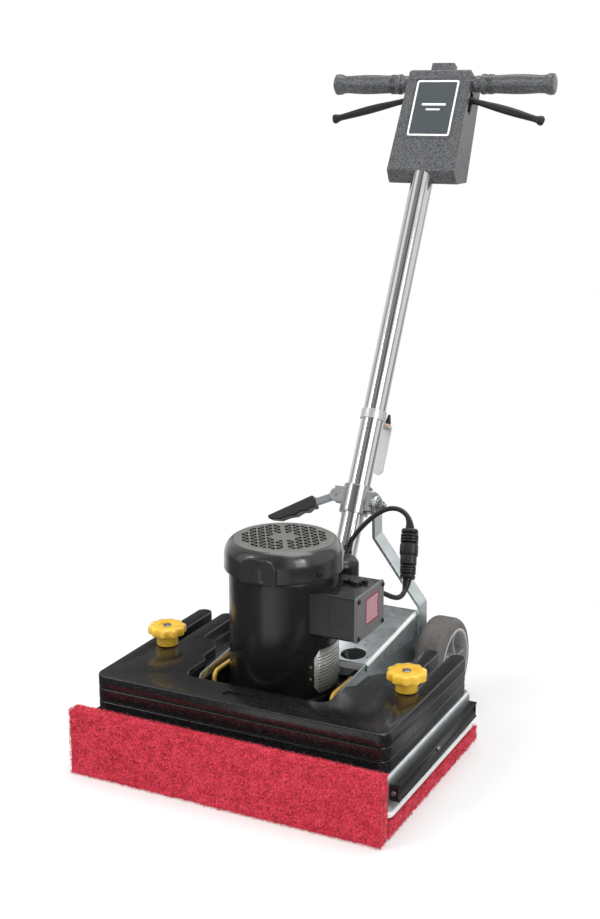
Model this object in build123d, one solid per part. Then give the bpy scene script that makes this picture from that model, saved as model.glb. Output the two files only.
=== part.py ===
from build123d import *
from math import atan2, cos, degrees, pi, radians, sin, tan
import os

# Orbital floor machine: a rectangular pad driven in small circles by an upright motor, under a
# weighted deck that trails two wheels and a leaning steering handle.
# Millimetres.  Origin on the floor under the middle of the pad, +Z up, front of the machine at -Y.

# ---- driving dimensions -------------------------------------------------------------------
PAD_X, PAD_Y, PAD_T = 508, 356, 25
GRIPPER_T, DRIVER_T = 3, 8
DECK_X, DECK_Y = 488, 356
DECK_TOP, DECK_SKIRT, DECK_WALL = 83, 35, 3
WEIGHT_T = 20.5
WEIGHT_X, WEIGHT_FRONT, WEIGHT_REAR = 240, -158, 162
KNOB_X, KNOB_Y, STUD_R = 205, -3, 6
MOTOR_Y, MOTOR_R, FAN_COVER_R = 4, 83, 90
MOTOR_BOTTOM, FAN_COVER_BOTTOM, MOTOR_TOP = 86, 304, 350
SHAFT_R, ORBIT = 11.1, 2.5
TRAY_X, TRAY_WALL, TRAY_FRONT, TRAY_REAR = 112, 2.5, -88, 300
COVER_FRONT, COVER_REAR, COVER_RISE = 60, 267, 0.0875
AXLE_Y, AXLE_Z, AXLE_R = 278, 76, 8
WHEEL_R, WHEEL_IN, WHEEL_OUT = 76, 128, 178
PIVOT_Y, PIVOT_Z, PIVOT_R = 147, 111, 6
LEAN = 27.68                      # handle's lean from upright, degrees
TUBE_R, TUBE_WALL = 19.05, 2.0
BAR_AT = 1012.9                   # handlebar axis, along the tube from its pivot
BOX_FRONT, BOX_SEAM, BOX_TOP = 18, 0, 1033
COLLAR_AT, COLLAR_R = 254.1, 24
STRUT_W, STRUT_T, STRUT_OUT, STRUT_IN = 32, 5, 118.5, 38.5
CORD_R = 4
RUN_CLEAR = 0.05                  # running clearance on the radius

PAD_TOP = PAD_T
GRIPPER_TOP = PAD_TOP + GRIPPER_T
DRIVER_TOP = GRIPPER_TOP + DRIVER_T
WEIGHT_TOP = DECK_TOP + 3 * WEIGHT_T
DECK_BOTTOM = DECK_TOP - DECK_SKIRT
PIN_X = ORBIT                     # the eccentric pin's offset at rest

nodes = {}


# ---- helpers ------------------------------------------------------------------------------
def block(x0, x1, y0, y1, z0, z1):
    """A box between two corners."""
    centre = Pos((x0 + x1) / 2, (y0 + y1) / 2, (z0 + z1) / 2)
    return centre * Box(abs(x1 - x0), abs(y1 - y0), abs(z1 - z0))


def rod_x(x0, x1, y, z, r):
    """A cylinder along X."""
    return Pos((x0 + x1) / 2, y, z) * Rot(0, 90, 0) * Cylinder(r, abs(x1 - x0))


def rod_y(x, y0, y1, z, r):
    """A cylinder along Y."""
    return Pos(x, (y0 + y1) / 2, z) * Rot(90, 0, 0) * Cylinder(r, abs(y1 - y0))


def rod_z(x, y, z0, z1, r):
    """A cylinder along Z."""
    return Pos(x, y, (z0 + z1) / 2) * Cylinder(r, abs(z1 - z0))


def ring_z(x, y, z0, z1, r_out, r_in):
    """A tube along Z."""
    return rod_z(x, y, z0, z1, r_out) - rod_z(x, y, z0 - 1, z1 + 1, r_in)


def plate(points, z0, z1):
    """A flat plate from (x, y, corner radius) points, between two heights."""
    path = FilletPolyline(*[(x, y) for x, y, _ in points], radius=[r for _, _, r in points], close=True)
    return Pos(0, 0, z0) * extrude(make_face(path), z1 - z0)


def side_plate(points, x0, x1):
    """A flat plate standing in the YZ plane from (y, z, corner radius) points."""
    path = FilletPolyline(*[(y, z) for y, z, _ in points], radius=[r for _, _, r in points], close=True)
    face = Plane.YZ * make_face(path)
    return Pos(x0, 0, 0) * extrude(face, amount=x1 - x0, dir=(1, 0, 0))


def rounded_box(x0, x1, y0, y1, z0, z1, corner):
    """A box with rounded upright edges."""
    points = [(x0, y0, corner), (x1, y0, corner), (x1, y1, corner), (x0, y1, corner)]
    return plate(points, z0, z1)


def both(shape):
    """A shape and its mirror image across the YZ plane, as separate solids."""
    return Compound(children=[shape, mirror(shape, about=Plane.YZ)])


def group(*shapes):
    """Separate solids that share one node."""
    solids = [solid for shape in shapes for solid in shape.solids()]
    return Compound(children=solids)


def leaned(shape):
    """Moves a shape from the handle's own frame, with the tube along Z, to its resting lean."""
    return Pos(0, PIVOT_Y, PIVOT_Z) * Rot(-LEAN, 0, 0) * shape


def cord(points):
    """A round cord along straight runs joined by arcs as large as the runs allow."""
    corners = [Vector(*p) for p in points]
    radii = []
    for before, here, after in zip(corners, corners[1:], corners[2:]):
        run_in, run_out = here - before, after - here
        turn = radians(run_in.get_angle(run_out))
        radii.append(0.48 * min(run_in.length, run_out.length) / tan(turn / 2))
    path = FilletPolyline(*points, radius=radii)
    start = Plane(origin=path @ 0, z_dir=path % 0)
    return sweep(start * Circle(CORD_R), path=path)


def cover_top(y):
    """Height of the chassis cover's top face at a place along the machine."""
    return WEIGHT_TOP + (y - COVER_FRONT) * COVER_RISE


# ---- pad, driver and eccentric drive ------------------------------------------------------
def floor_pad():
    return rounded_box(-PAD_X / 2, PAD_X / 2, -PAD_Y / 2, PAD_Y / 2, 0, PAD_TOP, 8)


def gripper_layer():
    return rounded_box(-248, 248, -170, 172, PAD_TOP, GRIPPER_TOP, 10)


def pad_driver_plate():
    outline = rounded_box(-252, 252, -172, 172, GRIPPER_TOP, DRIVER_TOP, 14)
    return chamfer(outline.faces().sort_by(Axis.Z)[-1].edges(), 1)


def bearing_housing():
    flange = rod_z(PIN_X, MOTOR_Y, DRIVER_TOP, DRIVER_TOP + 6, 58)
    barrel = rod_z(PIN_X, MOTOR_Y, DRIVER_TOP, DRIVER_TOP + 20, 32)
    seat = rod_z(PIN_X, MOTOR_Y, DRIVER_TOP + 4, DRIVER_TOP + 21, 23.5)
    body = flange + barrel - seat
    for turn in range(4):
        hole = Rot(0, 0, 45 + 90 * turn) * rod_z(45, 0, DRIVER_TOP - 1, DRIVER_TOP + 7, 4.5)
        body -= Pos(PIN_X, MOTOR_Y, 0) * hole
    return body


def driver_bearing():
    return ring_z(PIN_X, MOTOR_Y, DRIVER_TOP + 4, DRIVER_TOP + 18, 23.5, 10 + RUN_CLEAR)


def eccentric_hub():
    hub = rod_z(0, MOTOR_Y, 60, 82, 26)
    pin = rod_z(PIN_X, MOTOR_Y, DRIVER_TOP + 5, 61, 10)
    web = block(-44, 0, MOTOR_Y - 34, MOTOR_Y + 34, 62, 78) & rod_z(0, MOTOR_Y, 62, 78, 44)
    return hub + pin + web - rod_z(0, MOTOR_Y, 62, 83, SHAFT_R)


def motor_shaft():
    lower = rod_z(0, MOTOR_Y, 62, 336, SHAFT_R)
    return chamfer(lower.edges().sort_by(Axis.Z)[-1], 1)


def rotor_core():
    core = ring_z(0, MOTOR_Y, 140, 260, 47, SHAFT_R)
    for end in (130, 260):
        core += ring_z(0, MOTOR_Y, end, end + 10, 46, 34)
    return core


def cooling_fan():
    hub = ring_z(0, MOTOR_Y, 310, 332, 20, SHAFT_R)
    disc = ring_z(0, MOTOR_Y, 310, 313, 70, SHAFT_R)
    fan = hub + disc
    for blade in range(8):
        vane = block(19, 68, -1.5, 1.5, 312, 332)
        fan += Pos(0, MOTOR_Y, 0) * Rot(0, 0, 45 * blade + 22.5) * vane
    return fan


# ---- motor --------------------------------------------------------------------------------
def motor_housing():
    top = FAN_COVER_BOTTOM
    shell = rod_z(0, MOTOR_Y, MOTOR_BOTTOM, top, MOTOR_R)
    shell = fillet(shell.edges().group_by(Axis.Z)[0], 5)
    shell -= rod_z(0, MOTOR_Y, MOTOR_BOTTOM + 12, top - 12, MOTOR_R - 5)
    shell -= rod_z(0, MOTOR_Y, MOTOR_BOTTOM - 1, top + 1, SHAFT_R + 3)
    for seat_bottom in (MOTOR_BOTTOM, top - 12):
        shell -= rod_z(0, MOTOR_Y, seat_bottom - 1, seat_bottom + 13, 26)
    return shell


def motor_bearings():
    lower = ring_z(0, MOTOR_Y, MOTOR_BOTTOM, MOTOR_BOTTOM + 12, 26, SHAFT_R + RUN_CLEAR)
    upper = ring_z(0, MOTOR_Y, FAN_COVER_BOTTOM - 12, FAN_COVER_BOTTOM, 26, SHAFT_R + RUN_CLEAR)
    return group(lower, upper)


def stator():
    core = ring_z(0, MOTOR_Y, 140, 260, MOTOR_R - 5, 48)
    coils = ring_z(0, MOTOR_Y, 122, 140, 72, 50) + ring_z(0, MOTOR_Y, 260, 278, 72, 50)
    return core + coils


def grille_cells():
    """Triangular air holes that fill a hexagon, with a plain middle and six spokes."""
    side, rows, web, spoke, middle = 13.2, 5, 2, 3.6, 15
    row = side * 3**0.5 / 2
    cells = []
    for j in range(-rows, rows):
        for i in range(-2 * rows, 2 * rows + 1):
            upright = (i + j) % 2 == 1
            x, y = side * i / 2, row * (j + (1 / 3 if upright else 2 / 3))
            across = [abs(x * cos(radians(a)) + y * sin(radians(a))) for a in (30, 90, 150)]
            if max(across) < row * rows and min(across) > spoke and max(across) > middle:
                cell = RegularPolygon(side / 3**0.5 - web, 3, rotation=90 if upright else -90)
                cells.append(Pos(x, y + MOTOR_Y, MOTOR_TOP - 4) * extrude(cell, 6))
    return cells


def fan_cover():
    """The pressed cover over the fan, with a grille on top and a flat boss on its front."""
    wall = 2.5
    outer = rod_z(0, MOTOR_Y, FAN_COVER_BOTTOM, MOTOR_TOP, FAN_COVER_R)
    outer = fillet(outer.edges().group_by(Axis.Z)[-1], 25)
    face_y = MOTOR_Y - FAN_COVER_R
    arch = [(-29, 300, 0), (33, 300, 0), (33, 341, 20), (-29, 341, 20)]
    path = FilletPolyline(*[(x, z) for x, z, _ in arch], radius=[r for *_, r in arch], close=True)
    boss = Pos(0, face_y, 0) * extrude(Plane.XZ * make_face(path), amount=12, dir=(0, 1, 0))
    inner = rod_z(0, MOTOR_Y, FAN_COVER_BOTTOM - 1, MOTOR_TOP - wall, FAN_COVER_R - wall)
    inner = fillet(inner.edges().group_by(Axis.Z)[-1], 25 - wall)
    shell = outer + boss - inner - rod_z(0, MOTOR_Y, 299, FAN_COVER_BOTTOM, MOTOR_R)
    shell += ring_z(0, MOTOR_Y, FAN_COVER_BOTTOM, FAN_COVER_BOTTOM + 4, FAN_COVER_R - 2, 74)
    return shell - grille_cells()


def nameplate():
    """A thin curved plate with clipped corners on the motor's side."""
    ring = ring_z(0, MOTOR_Y, 125, 196, MOTOR_R + 0.8, MOTOR_R)
    clip = [(-37.5, 137, 0), (-29, 126, 0), (29, 126, 0), (37.5, 137, 0), (37.5, 183, 0), (29, 194, 0),
            (-29, 194, 0), (-37.5, 183, 0)]
    face = side_plate(clip, 40, 120)
    return ring & (Pos(0, MOTOR_Y, 0) * Rot(0, 0, -4) * face)


def capacitor_cover():
    dome = rod_z(58, 85, 200, 303, 27)
    dome = fillet(dome.edges().group_by(Axis.Z)[-1], 12)
    return dome - rod_z(0, MOTOR_Y, 100, 310, MOTOR_R)


def terminal_box():
    outer = block(60, 139, -45, 53, 221, 289)
    outer = fillet(outer.edges().filter_by(Axis.X), 4)
    inner = block(80, 140, -42, 50, 224, 286)
    box = outer - inner - rod_z(0, MOTOR_Y, 210, 300, MOTOR_R)
    box -= rod_y(118, 49, 54, 255, 6)
    box -= rod_z(111, 20, 285, 290, 8)
    for y in (-40, 48):
        for z in (227, 283):
            box += rod_x(120, 139, y, z, 3.6) & outer
    return box


def terminal_box_lid():
    lid = block(139, 143, -46, 54, 220, 290)
    lid = fillet(lid.edges().filter_by(Axis.X), 5)
    return chamfer(lid.faces().sort_by(Axis.X)[-1].edges(), 1)


def knockout_plug():
    cap = rod_z(111, 20, 289, 295, 11)
    cap = fillet(cap.edges().group_by(Axis.Z)[-1], 3)
    stem = rod_z(111, 20, 285, 289, 8)
    clips = block(94, 101, 12, 18, 289, 294) + block(121, 128, 22, 28, 289, 294)
    bar = block(99, 123, 14, 26, 289, 291)
    return cap + stem + clips + bar


def lead_gland():
    barrel = rod_y(118, 49, 66, 255, 6)
    nut = rod_y(118, 53, 60, 255, 10)
    cone = Pos(118, 66.5, 255) * Rot(-90, 0, 0) * Cone(9, 6, 13)
    return barrel + nut + cone - motor_lead()


# ---- cords --------------------------------------------------------------------------------
LOWER_PLUG = (132, 173, 251)
UPPER_PLUG = (120, 210, 320)


def motor_lead():
    return cord([(118, 73, 255), (118.8, 90, 253.5), (122, 106, 246), (127, 121, 237), (131.5, 136.5, 230.5),
                 (133.8, 151.5, 231.5), (133.4, 164.5, 239.5), LOWER_PLUG])


def handle_lead():
    return cord([UPPER_PLUG, (117, 216, 332.5), (107.5, 220, 343.5), (92.5, 221.5, 349), (75, 219.5, 346.5),
                 (58.5, 213, 336), (43.5, 206, 321), (30.5, 200, 304.5), (20.5, 197.5, 288), (14, 202, 273.5),
                 (9, 212.5, 262.5), (3, 223.5, 258)])


def connector_half(width, depth, low, high):
    """One moulded half of the in-line connector, between two places along its axis."""
    start, end = Vector(*LOWER_PLUG), Vector(*UPPER_PLUG)
    axis = end - start
    frame = Plane(origin=start, z_dir=axis, x_dir=(1, 0, 0))
    length = axis.length
    body = Box(width, depth, length * (high - low))
    body = fillet(body.edges().filter_by(Axis.Z), 5)
    return frame * Pos(0, 0, length * (low + high) / 2) * body


def lead_plug():
    return connector_half(24, 22, 0, 0.47) - motor_lead()


def lead_socket():
    return connector_half(28, 25, 0.47, 1) - handle_lead()


# ---- deck, rails, weights -----------------------------------------------------------------
def deck_pan():
    outer = rounded_box(-DECK_X / 2, DECK_X / 2, -DECK_Y / 2, DECK_Y / 2, DECK_BOTTOM, DECK_TOP, 16)
    outer = fillet(outer.faces().sort_by(Axis.Z)[-1].edges(), 6)
    w = DECK_WALL
    inner = rounded_box(-DECK_X / 2 + w, DECK_X / 2 - w, -DECK_Y / 2 + w, DECK_Y / 2 - w,
                        DECK_BOTTOM - 1, DECK_TOP - w, 13)
    pan = outer - inner - rod_z(0, MOTOR_Y, DECK_TOP - 5, DECK_TOP + 1, 48)
    for x in (-KNOB_X, KNOB_X):
        pan -= rod_z(x, KNOB_Y, DECK_TOP - 5, DECK_TOP + 1, STUD_R)
    return pan


def side_rails():
    """Extruded rails with a concave outer face, one on each side of the deck."""
    x0, x1, z0, z1 = DECK_X / 2, 259, 48, 73
    lip, hollow = 3, 3.6
    profile = Polyline((x0, z1), (x0, z0), (x1, z0), (x1, z0 + lip))
    bow = ThreePointArc((x1, z0 + lip), (x1 - hollow, (z0 + z1) / 2), (x1, z1 - lip))
    top = Polyline((x1, z1 - lip), (x1, z1), (x0, z1))
    face = Plane.XZ * make_face([*profile.edges(), *bow.edges(), *top.edges()])
    rail = Pos(0, -155, 0) * extrude(face, amount=312, dir=(0, 1, 0))
    return both(rail)


def front_pad_bracket():
    panel = block(-235, 235, -182, -178, 42, 96)
    return fillet(panel.edges().filter_by(Axis.Y), 8)


def front_pad():
    pad = block(-PAD_X / 2, PAD_X / 2, -207, -182, 0, 104)
    return fillet(pad.edges().filter_by(Axis.Y), 4)


def isolators():
    posts = []
    for x in (-200, 200):
        for y in (-125, 125):
            post = rod_z(x, y, DRIVER_TOP + 0.6, DECK_TOP - DECK_WALL, 20)
            posts.append(post - Pos(x, y, 58) * Torus(21, 5))
    return group(*posts)


def weight_outline():
    """Half of the weight's outline from the front middle round to the cut-out, as (x, y, radius)."""
    slot_in, slot_out, slot_end = KNOB_X - 9, KNOB_X + 9, KNOB_Y - 9
    return [(WEIGHT_X, WEIGHT_FRONT, 19), (WEIGHT_X, WEIGHT_REAR, 12), (slot_out, WEIGHT_REAR, 12),
            (slot_out, slot_end, 8.9), (slot_in, slot_end, 8.9), (slot_in, WEIGHT_REAR, 12),
            (170, WEIGHT_REAR, 12), (169, 52, 5), (146, 42, 9), (130.5, 22, 9), (129.5, -18, 3),
            (118.5, -31, 3), (118, -97, 17)]


def weight_plate(level):
    half = weight_outline()
    points = half + [(-x, y, r) for x, y, r in reversed(half)]
    bottom = DECK_TOP + level * WEIGHT_T
    solid = plate(points, bottom, bottom + WEIGHT_T)
    solid = fillet(solid.faces().sort_by(Axis.Z)[-1].edges(), 1.8)
    if level == 2:
        solid -= rounded_box(-31, 31, -134, -122, WEIGHT_TOP - 1.2, WEIGHT_TOP + 1, 4)
    return solid


def weight_studs():
    stud = rod_z(KNOB_X, KNOB_Y, DECK_TOP - DECK_WALL, 172, STUD_R)
    return both(stud)


def knob(side):
    """A lobed clamping knob with a round hub and a blind thread for its stud."""
    hub = rod_z(0, 0, WEIGHT_TOP + 0.4, 164, 17)
    lobes = 10
    rim = []
    for step in range(2 * lobes):
        angle, reach = pi * step / lobes, 33 if step % 2 == 0 else 26.5
        rim.append((reach * cos(angle), reach * sin(angle), 5 if step % 2 == 0 else 4))
    head = plate(rim, 163, 177.5)
    head = fillet(head.faces().sort_by(Axis.Z)[-1].edges(), 1.5)
    body = hub + head - rod_z(0, 0, 140, 172.5, STUD_R + RUN_CLEAR) - rod_z(0, 0, 174.5, 179, 5)
    return Pos(side * KNOB_X, KNOB_Y, 0) * body


# ---- chassis ------------------------------------------------------------------------------
def chassis_tray():
    """A folded tray that carries the motor and runs back as two plates to the axle."""
    top_rear = cover_top(COVER_REAR) - TRAY_WALL
    outer = [(-TRAY_X, TRAY_FRONT, 34), (TRAY_X, TRAY_FRONT, 34), (TRAY_X, TRAY_REAR, 0), (-TRAY_X, TRAY_REAR, 0)]
    w = TRAY_WALL
    inner = [(-TRAY_X + w, TRAY_FRONT + w, 34 - w), (TRAY_X - w, TRAY_FRONT + w, 34 - w),
             (TRAY_X - w, TRAY_REAR + 1, 0), (-TRAY_X + w, TRAY_REAR + 1, 0)]
    walls = plate(outer, 40, 200) - plate(inner, MOTOR_BOTTOM, 201)
    walls -= block(-TRAY_X + w, TRAY_X - w, COVER_REAR, TRAY_REAR + 1, 30, 210)
    walls -= block(-TRAY_X + w, TRAY_X - w, 180, TRAY_REAR + 1, 30, MOTOR_BOTTOM - 3)
    step = COVER_FRONT - 0.5
    side = [(TRAY_FRONT - 1, DECK_TOP, 0), (182, DECK_TOP, 0), (240, 50, 10), (TRAY_REAR, 50, 14),
            (TRAY_REAR, 120, 16), (COVER_REAR, top_rear, 0), (step, cover_top(step) - w, 0),
            (step, cover_top(step), 0), (TRAY_FRONT - 1, cover_top(TRAY_FRONT), 0)]
    tray = walls & side_plate(side, -TRAY_X - 1, TRAY_X + 1)
    tray -= rod_z(0, MOTOR_Y, DECK_TOP - 1, MOTOR_BOTTOM + 1, 48)
    return tray - rod_x(-120, 120, AXLE_Y, AXLE_Z, AXLE_R)


def chassis_cover():
    """The sloping cover behind the motor, folded down along both sides, its front and its rear."""
    t, x1 = 2.5, TRAY_X + 2.5
    front, rear = COVER_FRONT, COVER_REAR + 2.5
    top = [(front, cover_top(front), 0), (rear, cover_top(rear), 0), (rear, cover_top(rear) - 44, 0),
           (front, cover_top(front) - 12, 0)]
    outer = side_plate(top, -x1, x1)
    outer = fillet(outer.edges().filter_by(lambda e: abs(e.center().X) > x1 - 1
                                           and e.center().Z > cover_top(e.center().Y) - 1), 4)
    under = [(front + t, cover_top(front + t) - t, 0), (rear - t, cover_top(rear - t) - t, 0),
             (rear - t, 100, 0), (front + t, 100, 0)]
    cover = outer - side_plate(under, -TRAY_X, TRAY_X)
    cover -= rod_z(0, MOTOR_Y, 100, 200, MOTOR_R + 3)
    cover -= rounded_box(-23, 23, 131, 219, 100, 200, 22.9)
    for side in (-1, 1):
        cover -= rod_z(side * 79, 86, 136, 200, 20)
    return cover - chassis_tray()


def lift_bails():
    """Dipped wire bails between the motor and the tray's walls, to lift the head by."""
    path = FilletPolyline((100, -38, MOTOR_BOTTOM), (100, -38, 129), (100, 44, 129), (100, 44, MOTOR_BOTTOM),
                          radius=12)
    wire = sweep(Plane(origin=path @ 0, z_dir=path % 0) * Circle(3.5), path=path)
    return both(wire)


def axle():
    return rod_x(-190, 190, AXLE_Y, AXLE_Z, AXLE_R)


def axle_collars():
    """Spacers between plates, strut and wheels, and the retainers outside the wheels."""
    def spacer(x0, x1, r):
        return rod_x(x0, x1, AXLE_Y, AXLE_Z, r) - rod_x(x0 - 1, x1 + 1, AXLE_Y, AXLE_Z, AXLE_R)
    right = [spacer(TRAY_X, 115.7, 13), spacer(121.3, WHEEL_IN - 0.4, 13), spacer(WHEEL_OUT + 0.4, 186, 12)]
    left = [spacer(-WHEEL_IN + 0.4, -TRAY_X, 13), spacer(-186, -WHEEL_OUT - 0.4, 12)]
    return group(*right, *left)


def wheel_hub(side):
    """A moulded wheel centre: rim, dished web with five ribs, and a long bearing boss."""
    mid, half = (WHEEL_IN + WHEEL_OUT) / 2, (WHEEL_OUT - WHEEL_IN) / 2
    rim = rod_x(mid - half + 1, mid + half - 1, 0, 0, 59) - rod_x(mid - half - 1, mid + half + 1, 0, 0, 53)
    web = rod_x(mid - 5, mid + 3, 0, 0, 54)
    boss = rod_x(mid - half, mid + half, 0, 0, 17)
    hub = rim + web + boss
    for rib in range(5):
        arm = block(mid - half + 4, mid + half - 4, 15, 54, -3, 3)
        hub += Rot(72 * rib, 0, 0) * arm
    hub -= rod_x(mid - half - 1, mid + half + 1, 0, 0, AXLE_R + RUN_CLEAR)
    placed = Pos(0, AXLE_Y, AXLE_Z) * hub
    return placed if side > 0 else mirror(placed, about=Plane.YZ)


def wheel_tyre(side):
    mid, half = (WHEEL_IN + WHEEL_OUT) / 2, (WHEEL_OUT - WHEEL_IN) / 2
    tyre = rod_x(mid - half, mid + half, 0, 0, WHEEL_R)
    tyre = fillet(tyre.edges().filter_by(GeomType.CIRCLE), 13)
    tyre -= rod_x(mid - half - 1, mid + half + 1, 0, 0, 59)
    placed = Pos(0, AXLE_Y, AXLE_Z) * tyre
    return placed if side > 0 else mirror(placed, about=Plane.YZ)


# ---- handle -------------------------------------------------------------------------------
def pivot_brackets():
    cheek = side_plate([(PIVOT_Y - 28, MOTOR_BOTTOM, 0), (PIVOT_Y + 28, MOTOR_BOTTOM, 0),
                        (PIVOT_Y + 15, PIVOT_Z + 15, 12), (PIVOT_Y - 15, PIVOT_Z + 15, 12)], 30, 34)
    foot = block(34, 52, PIVOT_Y - 22, PIVOT_Y + 22, MOTOR_BOTTOM, MOTOR_BOTTOM + 4)
    return both(cheek + foot - rod_x(20, 60, PIVOT_Y, PIVOT_Z, PIVOT_R))


def pivot_pin():
    pin = rod_x(-38, 38, PIVOT_Y, PIVOT_Z, PIVOT_R)
    return chamfer(pin.edges().filter_by(GeomType.CIRCLE), 1)


def handle_foot():
    """Cross barrel on the pivot pin, with a stem plugged into the tube."""
    barrel = rod_x(-29.6, 29.6, 0, 0, 14)
    stem = rod_z(0, 0, 0, 62, TUBE_R - TUBE_WALL)
    return leaned(barrel + stem - rod_x(-40, 40, 0, 0, PIVOT_R + RUN_CLEAR))


def handle_tube():
    """The leaning tube, welded at its top to the cross tube that carries the grips."""
    cross = rod_x(-198, 198, 0, BAR_AT, 11) - rod_x(-199, 199, 0, BAR_AT, 9)
    upright = rod_z(0, 0, 18, BAR_AT, TUBE_R) - rod_z(0, 0, 17, BAR_AT + 1, TUBE_R - TUBE_WALL)
    slot_face = extrude(SlotOverall(26, 13, rotation=90), 12)
    lead_slot = Pos(0, 0, 167) * Rot(0, 0, 30) * Rot(90, 0, 0) * Pos(0, 0, 15) * slot_face
    flat = block(-30, 30, -30, 3.1 - BOX_FRONT, 840, BAR_AT + 1)
    return leaned(upright - flat - rod_x(-60, 60, 0, BAR_AT, 11) + cross - lead_slot)


def cord_hook():
    """A hook on the back of the tube for the stored cord: a strap, an arm and a hanging blade."""
    strap = ring_z(0, 0, 396, 412, TUBE_R + 2.5, TUBE_R)
    arm = block(-8, 8, TUBE_R + 1, 68, 400, 403)
    blade = side_plate([(65, 318, 0), (68, 318, 0), (68, 405, 0), (65, 405, 0)], -9, 9)
    blade = fillet(blade.edges().filter_by(Axis.Y).group_by(Axis.Z)[0], 8.5)
    tip = Pos(0, 66.5, 414) * Cone(5.5, 1.5, 22)
    return leaned(strap + arm + blade + tip)


def box_outline(inset):
    """The control box as one solid: a tapered front outline crossed with its side profile."""
    top_x, foot_x = 58 - inset, 63 - inset
    top, front = BOX_TOP - inset, BOX_FRONT - inset
    outline = [(-foot_x, 824, 6), (foot_x, 824, 6), (top_x, top, 8), (-top_x, top, 8)]
    path = FilletPolyline(*[(x, z) for x, z, _ in outline], radius=[r for *_, r in outline], close=True)
    prism = extrude(Plane.XZ * make_face(path), amount=60, both=True)
    profile = [(-front, 841 + inset * 0.4, 4), (3, 826 + inset, 4), (48 - inset, 850 + inset, 5),
               (36 - inset, top, 7), (-front, top, 5)]
    return prism & side_plate(profile, -80, 80)


def control_box(front_half):
    shell = box_outline(0) - box_outline(3)
    shell -= rod_z(0, 0, 800, 1005, TUBE_R + 0.1) - block(-30, 30, -30, 3 - BOX_FRONT, 840, 1006)
    shell -= rod_x(-90, 90, 0, BAR_AT, 11.1)
    for side in (-1, 1):
        shell -= block(side * 50, side * 75, -7.5, 7.5, 958, 997)
    shell -= block(-21.6, 21.6, -14.6, 3.6, BOX_TOP - 5, BOX_TOP + 5)
    if front_half:
        keep = block(-90, 90, -60, BOX_SEAM, 800, 1060)
        posts = [rod_y(x, -BOX_FRONT + 2, 9, 982, 3) for x in (-50, 50)]
        return leaned((shell & keep) + posts)
    keep = block(-90, 90, BOX_SEAM, 60, 800, 1060)
    return leaned(shell & keep)


def lockout_button():
    """The safety button on top of the box, kept in by a thin lip under the box's wall."""
    cap = block(-21, 21, -14, 3, 1028, 1047)
    cap = fillet(cap.edges().filter_by(Axis.Z), 2)
    return leaned(cap + block(-24.5, 24.5, -11, 6, 1028, 1029.4))


def handle_grips():
    """Moulded grips with an inner and an outer flange, one on each end of the cross tube."""
    profile = [(11, 66), (14, 66), (14, 76), (17.5, 79), (15.5, 90), (16.8, 140), (15.4, 190), (18, 200),
               (16, 204), (0, 204), (0, 198), (11, 198)]
    path = Polyline(*[(x, -r) for r, x in profile], close=True)
    solid = revolve(make_face(path), axis=Axis.X)
    return leaned(Pos(0, 0, BAR_AT) * both(solid))


def switch_blocks():
    """The two motor switches that the levers press."""
    block_right = block(22, 41, -7, 7, 948, 970)
    return leaned(both(fillet(block_right.edges().filter_by(Axis.Y), 1.5)))


def switch_lever(side):
    """A moulded finger lever that turns on a post in the front shell and swings up to the grip."""
    top = [(50, 990.5, 0), (66, 987, 0), (130, 970, 0), (186, 952.5, 0), (196, 951, 3)]
    low = [(193, 936, 3), (184, 938, 0), (130, 955.5, 0), (76, 970.5, 0), (50, 973.5, 0)]
    path = FilletPolyline(*[(x, z) for x, z, _ in top + low], radius=[r for *_, r in top + low], close=True)
    arm = extrude(Plane.XZ * make_face(path), amount=5.5, both=True)
    hub = rod_y(50, -6.5, 6.5, 982, 8.5)
    tail = block(37, 50, -5, 5, 974, 984)
    lever = arm + hub + tail - rod_y(50, -20, 20, 982, 3 + RUN_CLEAR)
    return leaned(lever if side > 0 else mirror(lever, about=Plane.YZ))


# ---- collar, clamp lever and strut --------------------------------------------------------
PIN_AT = (-35, 262)               # clamp lever's pin, across the tube and along it


def tube_collar():
    """Clamp collar that slides on the tube, with an ear for its lever and a boss for the strut."""
    ring = rod_z(0, 0, 234, 281, COLLAR_R)
    boss = block(15, 34, -11, 11, 238, 274) + rod_x(30, 35.8, 0, COLLAR_AT, 13)
    ear = block(-38, -15, -10, 10, 250, 276) + rod_y(PIN_AT[0], -10, 10, PIN_AT[1], 10)
    body = ring + fillet(boss.edges().filter_by(Axis.X), 3) + ear
    body -= rod_z(0, 0, 230, 290, TUBE_R + 2 * RUN_CLEAR)
    body -= block(-60, -25, -4.2, 4.2, 240, 290)
    body -= rod_y(PIN_AT[0], -12, 12, PIN_AT[1], 3)
    return leaned(body - rod_x(24, 40, 0, COLLAR_AT, 4))


def collar_fasteners():
    """The strut's bolt with its washer and nut, and the clamp lever's pin."""
    bolt = rod_x(24, 54, 0, COLLAR_AT, 4)
    washer = rod_x(41.4, 43.4, 0, COLLAR_AT, 12) - rod_x(40, 45, 0, COLLAR_AT, 4)
    nut = Pos(46.9, 0, COLLAR_AT) * Rot(0, 90, 0) * extrude(RegularPolygon(7.5, 6), 3.5, both=True)
    nut -= rod_x(40, 55, 0, COLLAR_AT, 4)
    pin = rod_y(PIN_AT[0], -11.5, 11.5, PIN_AT[1], 3)
    return group(leaned(bolt), leaned(washer), leaned(nut), leaned(pin))


CLAMP_DROP = 26                   # lever's slope below square to the tube, degrees


def at_clamp_pin(shape):
    """Places a shape drawn along -X from the pin."""
    return leaned(Pos(PIN_AT[0], 0, PIN_AT[1]) * Rot(0, -CLAMP_DROP, 0) * shape)


def clamp_arm_shape():
    eye = rod_y(0, -3.8, 3.8, 0, 9)
    arm = block(-62, -2, -3.8, 3.8, -6, 6)
    return eye + arm - rod_y(0, -6, 6, 0, 3 + RUN_CLEAR)


def clamp_arm():
    return at_clamp_pin(clamp_arm_shape())


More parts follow.
